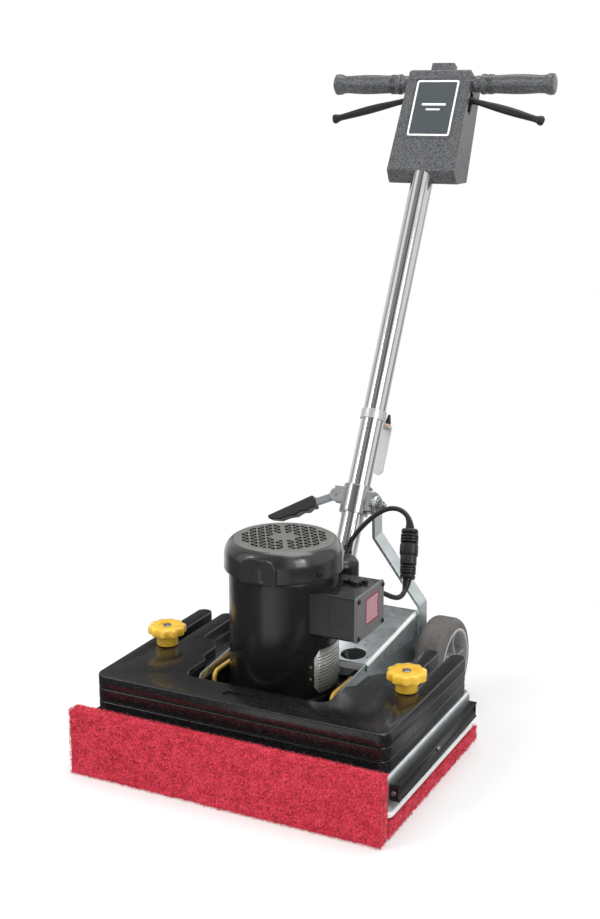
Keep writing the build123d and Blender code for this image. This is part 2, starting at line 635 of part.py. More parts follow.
def clamp_grip():
    """A tapered moulded grip with finger scallops underneath, over the arm's end."""
    points = [(-40, 12, 3), (-40, -11, 3), (-48, -8, 4), (-56, -12, 4), (-66, -9, 6), (-78, -12, 6),
              (-92, -9.5, 8), (-108, -10, 8), (-127, -2, 4), (-127, 4, 2)]
    path = FilletPolyline(*[(x, z) for x, z, _ in points], radius=[r for *_, r in points], close=True)
    grip = extrude(Plane.XZ * make_face(path), amount=9, both=True)
    grip = chamfer(grip.faces().sort_by(Axis.Y)[0].edges(), 1.5)
    return at_clamp_pin(grip - clamp_arm_shape())


def handle_strut():
    """A joggled flat bar from the axle up to the collar's bolt."""
    bolt_y = PIVOT_Y + COLLAR_AT * sin(radians(LEAN))
    bolt_z = PIVOT_Z + COLLAR_AT * cos(radians(LEAN))
    length = ((bolt_y - AXLE_Y)**2 + (bolt_z - AXLE_Z)**2) ** 0.5
    lean = degrees(atan2(bolt_y - AXLE_Y, bolt_z - AXLE_Z))
    half_t, half_w = STRUT_T / 2, STRUT_W / 2
    low_bend, high_bend = 98, 208
    side = [(STRUT_OUT, -half_w), (STRUT_OUT, low_bend), (STRUT_IN, high_bend), (STRUT_IN, length + half_w)]
    outer = [(x + half_t, z + shift) for (x, z), shift in zip(side, (0, 1, 1, 0))]
    inner = [(x - half_t, z - shift) for (x, z), shift in zip(side, (0, 1, 1, 0))]
    path = FilletPolyline(*outer, *reversed(inner), radius=[0, 7, 3, 0, 0, 7, 3, 0], close=True)
    bar = extrude(Plane.XZ * make_face(path), amount=half_w, both=True)
    for end, away in ((0, -1), (length, 1)):
        corner = block(20, 130, -half_w, half_w, end, end + away * half_w)
        bar -= corner - rod_x(10, 140, 0, end, half_w)
    bar -= rod_x(100, 130, 0, 0, AXLE_R + RUN_CLEAR)
    bar -= rod_x(20, 60, 0, length, 9)
    return Pos(0, AXLE_Y, AXLE_Z) * Rot(-lean, 0, 0) * bar


# ---- the whole machine --------------------------------------------------------------------
makers = [floor_pad, gripper_layer, pad_driver_plate, bearing_housing, driver_bearing, eccentric_hub,
          motor_shaft, rotor_core, cooling_fan, motor_housing, motor_bearings, stator, fan_cover,
          nameplate, capacitor_cover, terminal_box, terminal_box_lid, knockout_plug,
          lead_gland, motor_lead, handle_lead, lead_plug, lead_socket, deck_pan, side_rails,
          front_pad_bracket, front_pad, isolators, weight_studs, chassis_tray, chassis_cover,
          lift_bails, axle, axle_collars, pivot_brackets, pivot_pin, handle_foot, handle_tube,
          cord_hook, lockout_button, handle_grips, switch_blocks, tube_collar, collar_fasteners,
          clamp_arm, clamp_grip, handle_strut]
for maker in makers:
    nodes[maker.__name__] = maker()
for level, name in enumerate(("lower", "middle", "upper")):
    nodes["weight_plate_" + name] = weight_plate(level)
nodes["control_box_front"] = control_box(True)
nodes["control_box_rear"] = control_box(False)
for side, name in ((-1, "left"), (1, "right")):
    nodes["knob_" + name] = knob(side)
    nodes["wheel_hub_" + name] = wheel_hub(side)
    nodes["wheel_tyre_" + name] = wheel_tyre(side)
    nodes["switch_lever_" + name] = switch_lever(side)

os.makedirs("parts", exist_ok=True)
for name, shape in nodes.items():
    export_step(shape, os.path.join("parts", name + ".step"))
print(len(nodes), "nodes")
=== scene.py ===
import bmesh
import bpy
import math
import random
from mathutils import Matrix, Vector, noise


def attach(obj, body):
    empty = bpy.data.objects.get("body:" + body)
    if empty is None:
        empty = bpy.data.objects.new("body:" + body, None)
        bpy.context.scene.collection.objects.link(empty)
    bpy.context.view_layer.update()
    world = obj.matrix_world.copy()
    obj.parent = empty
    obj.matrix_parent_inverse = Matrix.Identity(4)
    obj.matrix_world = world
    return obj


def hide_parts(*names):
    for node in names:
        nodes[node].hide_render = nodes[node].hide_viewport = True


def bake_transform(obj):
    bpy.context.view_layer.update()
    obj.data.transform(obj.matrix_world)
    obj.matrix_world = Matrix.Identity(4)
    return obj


# Looks for the orbital floor machine.  Shapes are drawn in millimetres and scaled on the way in.
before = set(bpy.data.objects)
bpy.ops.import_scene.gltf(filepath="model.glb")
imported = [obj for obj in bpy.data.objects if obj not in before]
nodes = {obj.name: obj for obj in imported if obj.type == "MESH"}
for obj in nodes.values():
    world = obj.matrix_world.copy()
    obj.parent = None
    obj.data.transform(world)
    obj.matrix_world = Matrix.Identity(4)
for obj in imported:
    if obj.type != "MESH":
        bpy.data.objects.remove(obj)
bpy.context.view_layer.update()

MM = 0.001
STILL = Matrix.Identity(4)
TO_X = Matrix.Rotation(math.pi / 2, 4, "Y")         # turns Z onto X
TO_FRONT = Matrix.Rotation(math.pi / 2, 4, "X")     # stands a drawing up, rising towards -Y
# Draws in Y and Z, rising along X.
UPRIGHT = Matrix(((0, 0, 1, 0), (1, 0, 0, 0), (0, 1, 0, 0), (0, 0, 0, 1)))
PER_RADIAN = 57.3                                   # degrees

LEAN = math.radians(27.68)
HANDLE = Matrix.Translation((0, 147, 111)) @ Matrix.Rotation(-LEAN, 4, "X")
BAR_AT = 1012.9                     # cross tube's height up the handle
BOX_FRONT = 18                      # control box's face, ahead of the tube's axis
HOOK = HANDLE @ Matrix.Translation((0, 66.5, 0))    # the cord hook's blade, behind the tube
AXLE = Vector((0, 278, 76))
MOTOR_Y = 4
MOTOR = Matrix.Translation((0, MOTOR_Y, 0))
MOTOR_R, FAN_COVER_R, MOTOR_TOP = 83, 90, 350
PLATE_FIRST, PLATE_PITCH, PLATE_HIGH = 83, 20.5, 20.4
KNOB_X, KNOB_Y = 205, -3
COVER_FRONT, COVER_REAR, COVER_RISE = 60, 266, 0.0875


# Grey levels round the studio, as (share of a turn from -X, level): walls, and floor as mirrored.
SKY = [(0.0, 0.35), (0.03, 0.1), (0.055, 0.55), (0.13, 0.55), (0.155, 0.12), (0.185, 0.27), (0.215, 0.08),
       (0.25, 0.24), (0.285, 0.06), (0.33, 0.09), (0.355, 0.5), (0.45, 0.5), (0.475, 0.14), (0.5, 0.5),
       (0.62, 0.5), (0.66, 0.2), (0.69, 0.9), (0.72, 0.9), (0.765, 0.55), (0.79, 0.1), (0.86, 0.1),
       (0.89, 0.55), (1.0, 0.35)]
GROUND = [(0.0, 0.08), (0.09, 0.1), (0.185, 0.16), (0.215, 1.0), (0.27, 0.95), (0.315, 0.5), (0.37, 0.12),
          (0.52, 0.1), (0.57, 0.5), (0.61, 0.16), (0.67, 0.45), (0.77, 0.95), (0.8, 0.4), (0.86, 0.4),
          (0.9, 0.95), (1.0, 0.08)]


# ---- camera and light ---------------------------------------------------------------------
def make_camera():
    lens = bpy.data.cameras.new("view")
    lens.lens, lens.sensor_width = 55.68, 36
    lens.clip_end = 20
    camera = bpy.data.objects.new("view", lens)
    camera.location = (0.9288, -1.8041, 0.9925)
    camera.rotation_euler = (math.radians(75.56), 0, math.radians(26.51))
    bpy.context.collection.objects.link(camera)
    bpy.context.scene.camera = camera


def lamp(name, spot, aim, size, power, mirrored=True):
    light = bpy.data.lights.new(name, "AREA")
    light.shape, light.size, light.size_y = "RECTANGLE", size[0], size[1]
    light.energy = power
    ob = bpy.data.objects.new(name, light)
    ob.location = spot
    ob.visible_glossy = mirrored
    ob.rotation_euler = (Vector(aim) - Vector(spot)).to_track_quat("-Z", "Y").to_euler()
    bpy.context.collection.objects.link(ob)


def bands(tree, coordinates, levels):
    """A ramp of grey levels by compass direction, from -X round to -X."""
    split = tree.nodes.new("ShaderNodeSeparateXYZ")
    turn = tree.nodes.new("ShaderNodeMath")
    turn.operation = "ARCTAN2"
    scale = tree.nodes.new("ShaderNodeMapRange")
    scale.inputs["From Min"].default_value = -math.pi
    scale.inputs["From Max"].default_value = math.pi
    ramp = tree.nodes.new("ShaderNodeValToRGB")
    ramp.color_ramp.interpolation = "EASE"
    for _ in levels[2:]:
        ramp.color_ramp.elements.new(0.5)
    for element, (spot, level) in zip(ramp.color_ramp.elements, levels):
        element.position = spot
    for element, (spot, level) in zip(ramp.color_ramp.elements, levels):
        element.color = (level, level, level, 1)
    tree.links.new(coordinates, split.inputs[0])
    tree.links.new(split.outputs["Y"], turn.inputs[0])
    tree.links.new(split.outputs["X"], turn.inputs[1])
    tree.links.new(turn.outputs[0], scale.inputs["Value"])
    tree.links.new(scale.outputs[0], ramp.inputs["Fac"])
    return ramp.outputs["Color"]


def make_world():
    """A white backdrop for the eye, and a softly banded studio for light and reflections."""
    world = bpy.data.worlds.new("studio")
    bpy.context.scene.world = world
    world.use_nodes = True
    tree = world.node_tree
    plain = tree.nodes["Background"]
    plain.inputs["Color"].default_value = (1, 1, 1, 1)
    plain.inputs["Strength"].default_value = 1.0
    banded = tree.nodes.new("ShaderNodeBackground")
    banded.inputs["Strength"].default_value = 1.5
    coordinates = tree.nodes.new("ShaderNodeTexCoord")
    path = tree.nodes.new("ShaderNodeLightPath")
    mix = tree.nodes.new("ShaderNodeMixShader")
    link = tree.links.new
    link(bands(tree, coordinates.outputs["Generated"], SKY), banded.inputs["Color"])
    link(path.outputs["Is Camera Ray"], mix.inputs["Fac"])
    link(banded.outputs[0], mix.inputs[1])
    link(plain.outputs[0], mix.inputs[2])
    link(mix.outputs[0], tree.nodes["World Output"].inputs["Surface"])


# ---- materials ----------------------------------------------------------------------------
def finish(name, colour, metal=0.0, rough=0.5, coat=0.0, grain=None, mottle=None, smudge=None, sheen=0.0):
    """A procedural surface.  grain: (detail per metre, depth in mm, strength); mottle: (detail per
    metre, second colour, low, high); smudge: (detail per metre, least roughness, most roughness)."""
    material = bpy.data.materials.new(name)
    material.use_nodes = True
    tree = material.node_tree
    skin = tree.nodes["Principled BSDF"]
    skin.inputs["Base Color"].default_value = (*colour, 1)
    skin.inputs["Metallic"].default_value = metal
    skin.inputs["Roughness"].default_value = rough
    skin.inputs["Coat Weight"].default_value = coat
    skin.inputs["Coat Roughness"].default_value = 0.08
    skin.inputs["Sheen Weight"].default_value = sheen
    coordinates = tree.nodes.new("ShaderNodeTexCoord")

    def speckle(detail, octaves=3):
        node = tree.nodes.new("ShaderNodeTexNoise")
        node.inputs["Scale"].default_value = detail
        node.inputs["Detail"].default_value = octaves
        tree.links.new(coordinates.outputs["Object"], node.inputs["Vector"])
        return node
    if mottle:
        ramp = tree.nodes.new("ShaderNodeValToRGB")
        ramp.color_ramp.elements[0].position, ramp.color_ramp.elements[1].position = mottle[2:]
        ramp.color_ramp.elements[0].color = (*colour, 1)
        ramp.color_ramp.elements[1].color = (*mottle[1], 1)
        tree.links.new(speckle(mottle[0]).outputs["Fac"], ramp.inputs["Fac"])
        tree.links.new(ramp.outputs["Color"], skin.inputs["Base Color"])
    if smudge:
        spread = tree.nodes.new("ShaderNodeMapRange")
        spread.inputs["From Min"].default_value = 0.3
        spread.inputs["From Max"].default_value = 0.7
        spread.inputs["To Min"].default_value = smudge[1]
        spread.inputs["To Max"].default_value = smudge[2]
        tree.links.new(speckle(smudge[0]).outputs["Fac"], spread.inputs["Value"])
        tree.links.new(spread.outputs[0], skin.inputs["Roughness"])
    if grain:
        bump = tree.nodes.new("ShaderNodeBump")
        bump.inputs["Distance"].default_value = grain[1] * MM
        bump.inputs["Strength"].default_value = grain[2]
        tree.links.new(speckle(grain[0], 2).outputs["Fac"], bump.inputs["Height"])
        tree.links.new(bump.outputs["Normal"], skin.inputs["Normal"])
    return material


LOOKS = {
    "zinc": finish("zinc", (0.60, 0.65, 0.66), 0.9, 0.36, mottle=(34, (0.74, 0.79, 0.80), 0.35, 0.65),
                   smudge=(80, 0.26, 0.42)),
    "black_paint": finish("black_paint", (0.011, 0.0112, 0.0118), 0, 0.26, 0.08, grain=(520, 0.05, 0.3),
                          smudge=(60, 0.22, 0.3)),
    # The weights' lighter mottle stands for the glints of their orange-peel paint: painted glints.
    "weight_paint": finish("weight_paint", (0.006, 0.006, 0.0066), 0, 0.2, 0.2, grain=(230, 0.6, 0.6),
                           mottle=(420, (0.03, 0.03, 0.032), 0.5, 0.72), smudge=(90, 0.17, 0.27)),
    "yellow_paint": finish("yellow_paint", (0.84, 0.50, 0.07), 0, 0.3, 0.3, grain=(600, 0.05, 0.3)),
    "yellow_plastic": finish("yellow_plastic", (0.86, 0.50, 0.035), 0, 0.24, 0.5,
                             mottle=(70, (0.92, 0.58, 0.07), 0.4, 0.6), grain=(700, 0.04, 0.3)),
    "red_pad": finish("red_pad", (0.34, 0.008, 0.022), 0, 0.95, 0, grain=(420, 1.4, 1.0),
                      mottle=(330, (0.80, 0.05, 0.095), 0.34, 0.6), sheen=0.12),
    "gripper_black": finish("gripper_black", (0.02, 0.02, 0.02), 0, 0.9, grain=(900, 0.5, 0.8)),
    "aluminium_plate": finish("aluminium_plate", (0.80, 0.81, 0.82), 1.0, 0.28, smudge=(80, 0.2, 0.36)),
    "steel": finish("steel", (0.44, 0.44, 0.45), 1.0, 0.3, smudge=(60, 0.26, 0.36)),
    "chrome_tube": finish("chrome_tube", (0.82, 0.82, 0.83), 1.0, 0.12, smudge=(45, 0.09, 0.15)),
    "core_steel": finish("core_steel", (0.2, 0.2, 0.21), 0.8, 0.5, grain=(300, 0.2, 0.4)),
    "grey_plastic": finish("grey_plastic", (0.034, 0.036, 0.039), 0, 0.36, 0.1, grain=(420, 0.5, 0.7),
                           mottle=(380, (0.135, 0.139, 0.144), 0.34, 0.66)),
    "black_plastic": finish("black_plastic", (0.010, 0.010, 0.011), 0, 0.36, grain=(900, 0.08, 0.4)),
    "cord_rubber": finish("cord_rubber", (0.014, 0.014, 0.015), 0, 0.42, grain=(700, 0.08, 0.4)),
    "isolator_rubber": finish("isolator_rubber", (0.02, 0.02, 0.02), 0, 0.7, grain=(400, 0.2, 0.5)),
    "tyre_rubber": finish("tyre_rubber", (0.105, 0.097, 0.092), 0, 0.58, grain=(450, 0.12, 0.4),
                          mottle=(160, (0.135, 0.126, 0.12), 0.35, 0.65)),
    "hub_plastic": finish("hub_plastic", (0.2, 0.2, 0.205), 0, 0.42, grain=(600, 0.1, 0.4),
                          mottle=(180, (0.27, 0.27, 0.275), 0.35, 0.65)),
    "plate_label": finish("plate_label", (0.42, 0.42, 0.41), 0.55, 0.38, grain=(500, 0.08, 0.4),
                          mottle=(240, (0.60, 0.60, 0.58), 0.42, 0.62)),
}
COVER_PAINT = finish("cover_paint", (0.016, 0.0163, 0.017), 0, 0.3, 0.7, grain=(520, 0.05, 0.3))
# Lighter finish for the fan cover's top faces: painted light falling on the top.
COVER_TOP_PAINTED_LIGHT = finish("cover_top_painted_light", (0.165, 0.16, 0.15), 0, 0.5, grain=(520, 0.05, 0.3))
LID = finish("lid_paint", (0.13, 0.13, 0.133), 0, 0.4, grain=(520, 0.08, 0.4))
# Near-white finish for painted light: highlights on the pad driver plate and the cover's folds, and the
# shaded cover flanges drawn bright.
PAINTED_LIGHT = finish("painted_light_edge", (0.93, 0.95, 0.95), 0.1, 0.3)
SLEEVE = finish("sleeve_steel", (0.52, 0.52, 0.53), 1.0, 0.22)
PALE_HOOK = finish("hook_coating", (0.62, 0.63, 0.63), 0.6, 0.35)
DULL_ZINC = finish("dull_zinc", (0.30, 0.33, 0.34), 0.9, 0.36, smudge=(80, 0.28, 0.42))
WHITE_PRINT = finish("white_print", (0.86, 0.87, 0.88), 0, 0.4)
SLATE_PRINT = finish("slate_print", (0.045, 0.055, 0.06), 0, 0.4, grain=(900, 0.05, 0.4),
                     mottle=(700, (0.06, 0.072, 0.078), 0.4, 0.6))
PINK_PRINT = finish("pink_print", (0.26, 0.05, 0.075), 0, 0.45)
PALE_PINK = finish("pale_pink_print", (0.80, 0.58, 0.62), 0, 0.45)
ORANGE = finish("orange_band", (0.85, 0.22, 0.03), 0, 0.4)
PALE_RIM = finish("pale_rim", (0.46, 0.46, 0.465), 0, 0.4)


# ---- shape helpers ------------------------------------------------------------------------
def rounded(points, steps=7):
    """Points of a closed outline whose corners, given as (x, y, radius), are rounded."""
    out = []
    for i, (x, y, r) in enumerate(points):
        here = Vector((x, y))
        if r == 0:
            out.append(here)
            continue
        back = (Vector(points[i - 1][:2]) - here).normalized()
        ahead = (Vector(points[(i + 1) % len(points)][:2]) - here).normalized()
        half = back.angle(ahead) / 2
        centre = here + (back + ahead).normalized() * r / math.sin(half)
        first, last = here + back * r / math.tan(half), here + ahead * r / math.tan(half)
        a, b = (math.atan2(*(p - centre).yx) for p in (first, last))
        b = a + (b - a + math.pi) % (2 * math.pi) - math.pi
        turns = [a + (b - a) * k / steps for k in range(steps + 1)]
        out += [centre + r * Vector((math.cos(t), math.sin(t))) for t in turns]
    return out


def tidy(ob, sharp=35, bevel=0.0, steps=3):
    """Smooth shading with true sharp edges, and a rounded edge where one is asked for."""
    mesh = ob.data
    mesh.shade_smooth()
    mesh.set_sharp_from_angle(angle=math.radians(sharp))
    if bevel:
        edge = ob.modifiers.new("edge", "BEVEL")
        edge.width, edge.segments, edge.limit_method = bevel * MM, steps, "ANGLE"
        edge.angle_limit, edge.harden_normals = math.radians(sharp), True
        edge.use_clamp_overlap = True


class Form:
    """Collects closed shells, in millimetres, into one piece."""

    def __init__(self):
        self.points, self.faces = [], []

    def shell(self, rings, at=STILL, wrap=False):
        base, n = len(self.points), len(rings[0])
        self.points += [at @ Vector(p) for ring in rings for p in ring]
        count = len(rings)
        for i in range(count if wrap else count - 1):
            a, b = base + i * n, base + (i + 1) % count * n
            self.faces += [(a + j, a + (j + 1) % n, b + (j + 1) % n, b + j) for j in range(n)]
        if not wrap:
            self.faces += [tuple(range(base + n - 1, base - 1, -1)),
                           tuple(range(base + (count - 1) * n, base + count * n))]
        return self

    def lathe(self, profile, at=STILL, sides=96, wrap=False):
        """Turns (radius, height) points about Z; wrap closes the profile on itself for a ring."""
        turns = [2 * math.pi * k / sides for k in range(sides)]
        rings = [[(r * math.cos(t), r * math.sin(t), h) for t in turns] for r, h in profile]
        return self.shell(rings, at, wrap)

    def prism(self, outline, low, high, at=STILL):
        """A drawing in X and Y, raised from one height to another."""
        return self.shell([[(x, y, h) for x, y in outline] for h in (low, high)], at)

    def border(self, outer, inner, low, high, at=STILL):
        """The band between two outlines that have as many points each."""
        rings = [[(x, y, h) for x, y in line] for line, h in
                 ((outer, low), (outer, high), (inner, high), (inner, low))]
        return self.shell(rings, at, wrap=True)

    def box(self, x0, x1, y0, y1, z0, z1, at=STILL):
        return self.prism([(x0, y0), (x1, y0), (x1, y1), (x0, y1)], z0, z1, at)

    def tube(self, line, radii, sides=20):
        """A round tube along a line, with a radius for each point."""
        line = [Vector(p) for p in line]
        side = None
        rings = []
        for i, here in enumerate(line):
            ahead = (line[min(i + 1, len(line) - 1)] - line[max(i - 1, 0)]).normalized()
            side = (side - ahead * side.dot(ahead)).normalized() if side else ahead.orthogonal().normalized()
            up = ahead.cross(side)
            turns = [2 * math.pi * k / sides for k in range(sides)]
            rings.append([here + radii[i] * (side * math.cos(t) + up * math.sin(t)) for t in turns])
        return self.shell(rings)

    def mesh(self, name):
        """All the shells as one mesh in metres, their faces looking out."""
        mesh = bpy.data.meshes.new(name)
        mesh.from_pydata([p * MM for p in self.points], [], self.faces)
        work = bmesh.new()
        work.from_mesh(mesh)
        bmesh.ops.recalc_face_normals(work, faces=work.faces)
        work.to_mesh(mesh)
        work.free()
        return mesh

    def done(self, name, slot, body, stands_for=(), sharp=35, bevel=0.0, steps=3, look=None):
        """Makes the piece with the slot's look, or the look given, hangs it on its body and hides the CAD
        nodes it stands for.
        """
        mesh = self.mesh(name)
        mesh.materials.append(look or LOOKS[slot])
        ob = bpy.data.objects.new(name, mesh)
        bpy.context.collection.objects.link(ob)
        tidy(ob, sharp, bevel, steps)
        if body:
            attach(ob, body)
        if stands_for:
            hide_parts(*stands_for)
        return ob


def carve(ob, form):
    """Cuts a form's shells out of a finished piece."""
    cutter = bpy.data.objects.new("cutter", form.mesh("cutter"))
    bpy.context.collection.objects.link(cutter)
    cut = ob.modifiers.new("cut", "BOOLEAN")
    cut.object, cut.operation, cut.solver = cutter, "DIFFERENCE", "EXACT"
    shape = ob.evaluated_get(bpy.context.evaluated_depsgraph_get())
    carved = bpy.data.meshes.new_from_object(shape)
    ob.modifiers.clear()
    ob.data = carved
    bpy.data.objects.remove(cutter)
    carved.set_sharp_from_angle(angle=math.radians(35))


def place(point, axis):
    """A frame at a point, its Z along an axis."""
    turned = Vector(axis).to_track_quat("Z", "Y").to_matrix().to_4x4()
    return Matrix.Translation(point) @ turned


def squarish(sides, power):
    """Points round a circle of radius 1; the lower the power, the squarer."""
    turns = [2 * math.pi * k / sides for k in range(sides)]
    ring = [(math.cos(t), math.sin(t)) for t in turns]
    return [(math.copysign(abs(c) ** power, c), math.copysign(abs(d) ** power, d)) for c, d in ring]


def screw(form, at, r, high):
    """A pan-head screw with a socket, its seat on the frame's XY plane."""
    form.lathe([(0.01, -1), (r, -1), (r, high * 0.45), (r * 0.86, high * 0.85), (r * 0.62, high),
                (r * 0.46, high), (r * 0.42, high * 0.4), (0.01, high * 0.4)], at, 28)


# ---- carried CAD parts --------------------------------------------------------------------
def carry(name, look=None, bevel=0.0, sharp=35, steps=3):
    """Keeps a CAD node, with its finish and softened edges."""
    ob = nodes[name]
    for slot in ob.material_slots:
        slot.material = look
    if not ob.material_slots:
        ob.data.materials.append(look)
    weld = ob.modifiers.new("join", "WELD")
    weld.merge_threshold = 2e-6
    if bevel:
        flat = ob.modifiers.new("flat", "DECIMATE")
        flat.decimate_type, flat.angle_limit = "DISSOLVE", math.radians(0.6)
    tidy(ob, sharp, bevel, steps)
    if bevel:
        weight = ob.modifiers.new("even", "WEIGHTED_NORMAL")
        weight.keep_sharp, weight.mode = True, "FACE_AREA"


# ---- pads ---------------------------------------------------------------------------------
def lattice(low, high, step):
    """Points and quads of a box's skin, cut into small squares."""
    count = [max(2, round((b - a) / step)) for a, b in zip(low, high)]
    index, points, quads = {}, [], []

    def number(key):
        if key not in index:
            index[key] = len(points)
            points.append(Vector([low[a] + (high[a] - low[a]) * key[a] / count[a] for a in range(3)]))
        return index[key]
    for axis in range(3):
        u, v = [a for a in range(3) if a != axis]
        for side in (0, count[axis]):
            for p in range(count[u]):
                for q in range(count[v]):
                    quad = []
                    for dp, dq in ((0, 0), (1, 0), (1, 1), (0, 1)):
                        key = [0, 0, 0]
                        key[axis], key[u], key[v] = side, p + dp, q + dq
                        quad.append(number(tuple(key)))
                    quads.append(quad)
    return points, quads


def nonwoven(name, low, high, node, body, density):
    """A coarse fibre pad: an uneven block with stray looped fibres standing out of its sides."""
    rng = random.Random(name)
    form = Form()
    points, quads = lattice(low, high, 2.6)
    middle, half = (Vector(low) + Vector(high)) / 2, (Vector(high) - Vector(low)) / 2
    for p in points:
        near = sorted(half[a] - abs(p[a] - middle[a]) for a in range(3))
        sink = 1.2 + 0.9 * noise.noise(p * 0.07) + 0.9 * noise.noise(p * 0.31)
        if near[1] < 2:
            sink += 1.2
        lengths = Vector([(p[a] - middle[a]) / half[a] for a in range(3)])
        outward = Vector([math.copysign(1, c) if abs(c) > 0.999 else 0 for c in lengths])
        p -= outward.normalized() * max(0.1, sink)
    form.points, form.faces = points, quads
    sides = [(axis, way) for axis in range(3) for way in (-1, 1) if (axis, way) != (2, -1)]
    for axis, way in sides:
        u, v = [a for a in range(3) if a != axis]
        area = 4 * half[u] * half[v]
        for _ in range(int(area * density.get((axis, way), 0))):
            spot = Vector(middle)
            spot[axis] += way * (half[axis] - 0.8)
            spot[u] += rng.uniform(-1, 1) * half[u]
            spot[v] += rng.uniform(-1, 1) * half[v]
            out = Vector((0, 0, 0))
            out[axis] = way
            lie = Vector([rng.uniform(-1, 1) for _ in range(3)])
            lie[axis] = 0
            lie.normalize()
            across = out.cross(lie)
            long, rise = rng.uniform(2.6, 6.5), rng.uniform(0.3, 1.7) ** 2
            bend, thick = rng.uniform(-2.2, 2.2), rng.uniform(0.17, 0.28)
            rings = []
            for s in (-1, -0.35, 0.35, 1):
                centre = spot + lie * s * long / 2 + out * (rise * (1 - s * s) - 0.7) + across * bend * s * s
                rings.append([centre + thick * (out * math.cos(t) + across * math.sin(t))
                              for t in (0.3, 2.4, 4.5)])
            form.shell(rings)
    for p in form.points:
        p.z = max(p.z, 0.02)
    return form.done(name, "red_pad", body, [node], sharp=80)


def pads():
    nonwoven("front_pad_nonwoven", (-254, -207, 0.4), (254, -182, 104), "front_pad", "head",
             {(1, -1): 0.2, (0, 1): 0.2, (0, -1): 0.2, (2, 1): 0.3, (1, 1): 0.02})
    nonwoven("floor_pad_nonwoven", (-254, -178, 0), (254, 178, 25), "floor_pad", "pad_driver",
             {(0, 1): 0.2, (0, -1): 0.2, (1, 1): 0.14, (1, -1): 0.02, (2, 1): 0.012})
    carry("gripper_layer", LOOKS["gripper_black"])
    # The pad driver plate is aluminium drawn near white: a painted highlight.
    carry("pad_driver_plate", PAINTED_LIGHT, 0.6)


# ---- deck and weights ---------------------------------------------------------------------
def weight_outline():
    half = [(240, -158, 19), (240, 162, 12.4), (214, 162, 12.4), (214, -12, 8.9), (196, -12, 8.9),
            (196, 162, 12.4), (170, 162, 12.4), (169, 52, 5), (146, 42, 9), (130.5, 22, 9), (129.5, -18, 3),
            (118.5, -31, 3), (118, -97, 17)]
    return rounded(half + [(-x, y, r) for x, y, r in reversed(half)], 9)


def weights():
    for level, name in enumerate(("lower", "middle", "upper")):
        low = PLATE_FIRST + PLATE_PITCH * level
        form = Form().prism(weight_outline(), low + 0.15, low + PLATE_HIGH)
        plate = form.done("weight_%s_form" % name, "weight_paint", "head", ["weight_plate_" + name],
                          bevel=2.4, steps=4)
    recess = rounded([(-32, -135, 4), (32, -135, 4), (32, -121, 4), (-32, -121, 4)])
    carve(plate, Form().prism(recess, 141.6, 150))      # in the top plate
    studs = Form()
    for x in (-KNOB_X, KNOB_X):
        at = Matrix.Translation((x, KNOB_Y, 0))
        studs.lathe([(0.01, 80), (6, 80), (6, 172), (0.01, 172)], at, 32)
    studs.done("weight_studs_form", "steel", "head", ["weight_studs"])


def knob(side, word):
    """A lobed knob: domed top, undercut skirt, hub and a bright insert in its middle."""
    at = Matrix.Translation((side * KNOB_X, KNOB_Y, 0))
    steps, lobes = 160, 10
    turns = [2 * math.pi * k / steps for k in range(steps)]

    def ring(r, z, depth):
        reach = [(t, r + depth * math.cos(lobes * t)) for t in turns]
        return [(edge * math.cos(t), edge * math.sin(t), z) for t, edge in reach]
    levels = [(14, 145, 0), (16.6, 145.4, 0), (17, 146.4, 0), (17, 159, 0), (18, 161.5, 0.1),
              (24, 163.2, 0.8), (27.4, 163.6, 1.5), (28.6, 165, 1.7), (28.8, 169, 1.7),
              (28.6, 173.5, 1.7), (27.8, 175.6, 1.6), (26, 176.9, 1.3), (22, 177.5, 0.6),
              (14, 177.5, 0), (11.5, 177.1, 0), (11, 175.4, 0), (0.2, 175.4, 0)]
    form = Form().shell([ring(*level) for level in levels], at)
    form.done("knob_%s_form" % word, "yellow_plastic", "knob_" + word, ["knob_" + word])
    cap = [(0.01, 174.4), (7.4, 174.4), (7.4, 176.8), (6.6, 177.3), (3.6, 177.3), (3.2, 175.6), (0.01, 175.6)]
    insert = Form().lathe(cap, at, 6)
    insert.done("knob_%s_insert" % word, "steel", "knob_" + word, bevel=0.3)


def deck():
    carry("deck_pan", LOOKS["zinc"], 0.5)
    carry("side_rails", LOOKS["black_paint"], 0.5)
    carry("front_pad_bracket", LOOKS["black_paint"])
    carry("isolators", LOOKS["isolator_rubber"])
    marks, ends = Form(), Form()
    for side in (-1, 1):
        screw(marks, place((side * 255.4, 1, 60.5), (side, 0, 0)), 4.6, 2.4)
        ends.box(side * 245, side * 257.5, -156.4, -154.9, 49.5, 71.5)
        ends.box(side * 245, side * 257.5, 156.9, 158.4, 49.5, 71.5)
        screw(marks, place((side * 251, -156.3, 60.5), (0, -1, 0)), 3.6, 1.8)
    marks.done("rail_screws", "steel", "head")
    ends.done("rail_end_caps", "black_plastic", "head", bevel=0.5)


# ---- motor --------------------------------------------------------------------------------
def outward(turn):
    """The way out from the motor's axis, in degrees round from its front."""
    return Matrix.Rotation(math.radians(turn), 3, "Z") @ Vector((0, -1, 0))


def print_rows():
    """Plain raised bars in rows on the nameplate, standing for its printed table."""
    rng = random.Random("rows")
    rows = Form()
    for row in range(11):
        z, turn = 133 + 5 * row, 64.0
        while turn < 104:
            wide = rng.uniform(2, 7)
            turn += wide / 2 / MOTOR_R * PER_RADIAN
            seat = Matrix.Translation(Vector((0, MOTOR_Y, z)) + outward(turn) * (MOTOR_R + 0.8))
            spot = seat @ Matrix.Rotation(math.radians(turn), 4, "Z")
            rows.box(-wide / 2, wide / 2, -0.25, 0.3, -0.8, 0.8, spot)
            turn += (wide / 2 + 1.6) / MOTOR_R * PER_RADIAN
    rows.done("nameplate_rows", "plate_label", "head", look=SLATE_PRINT)


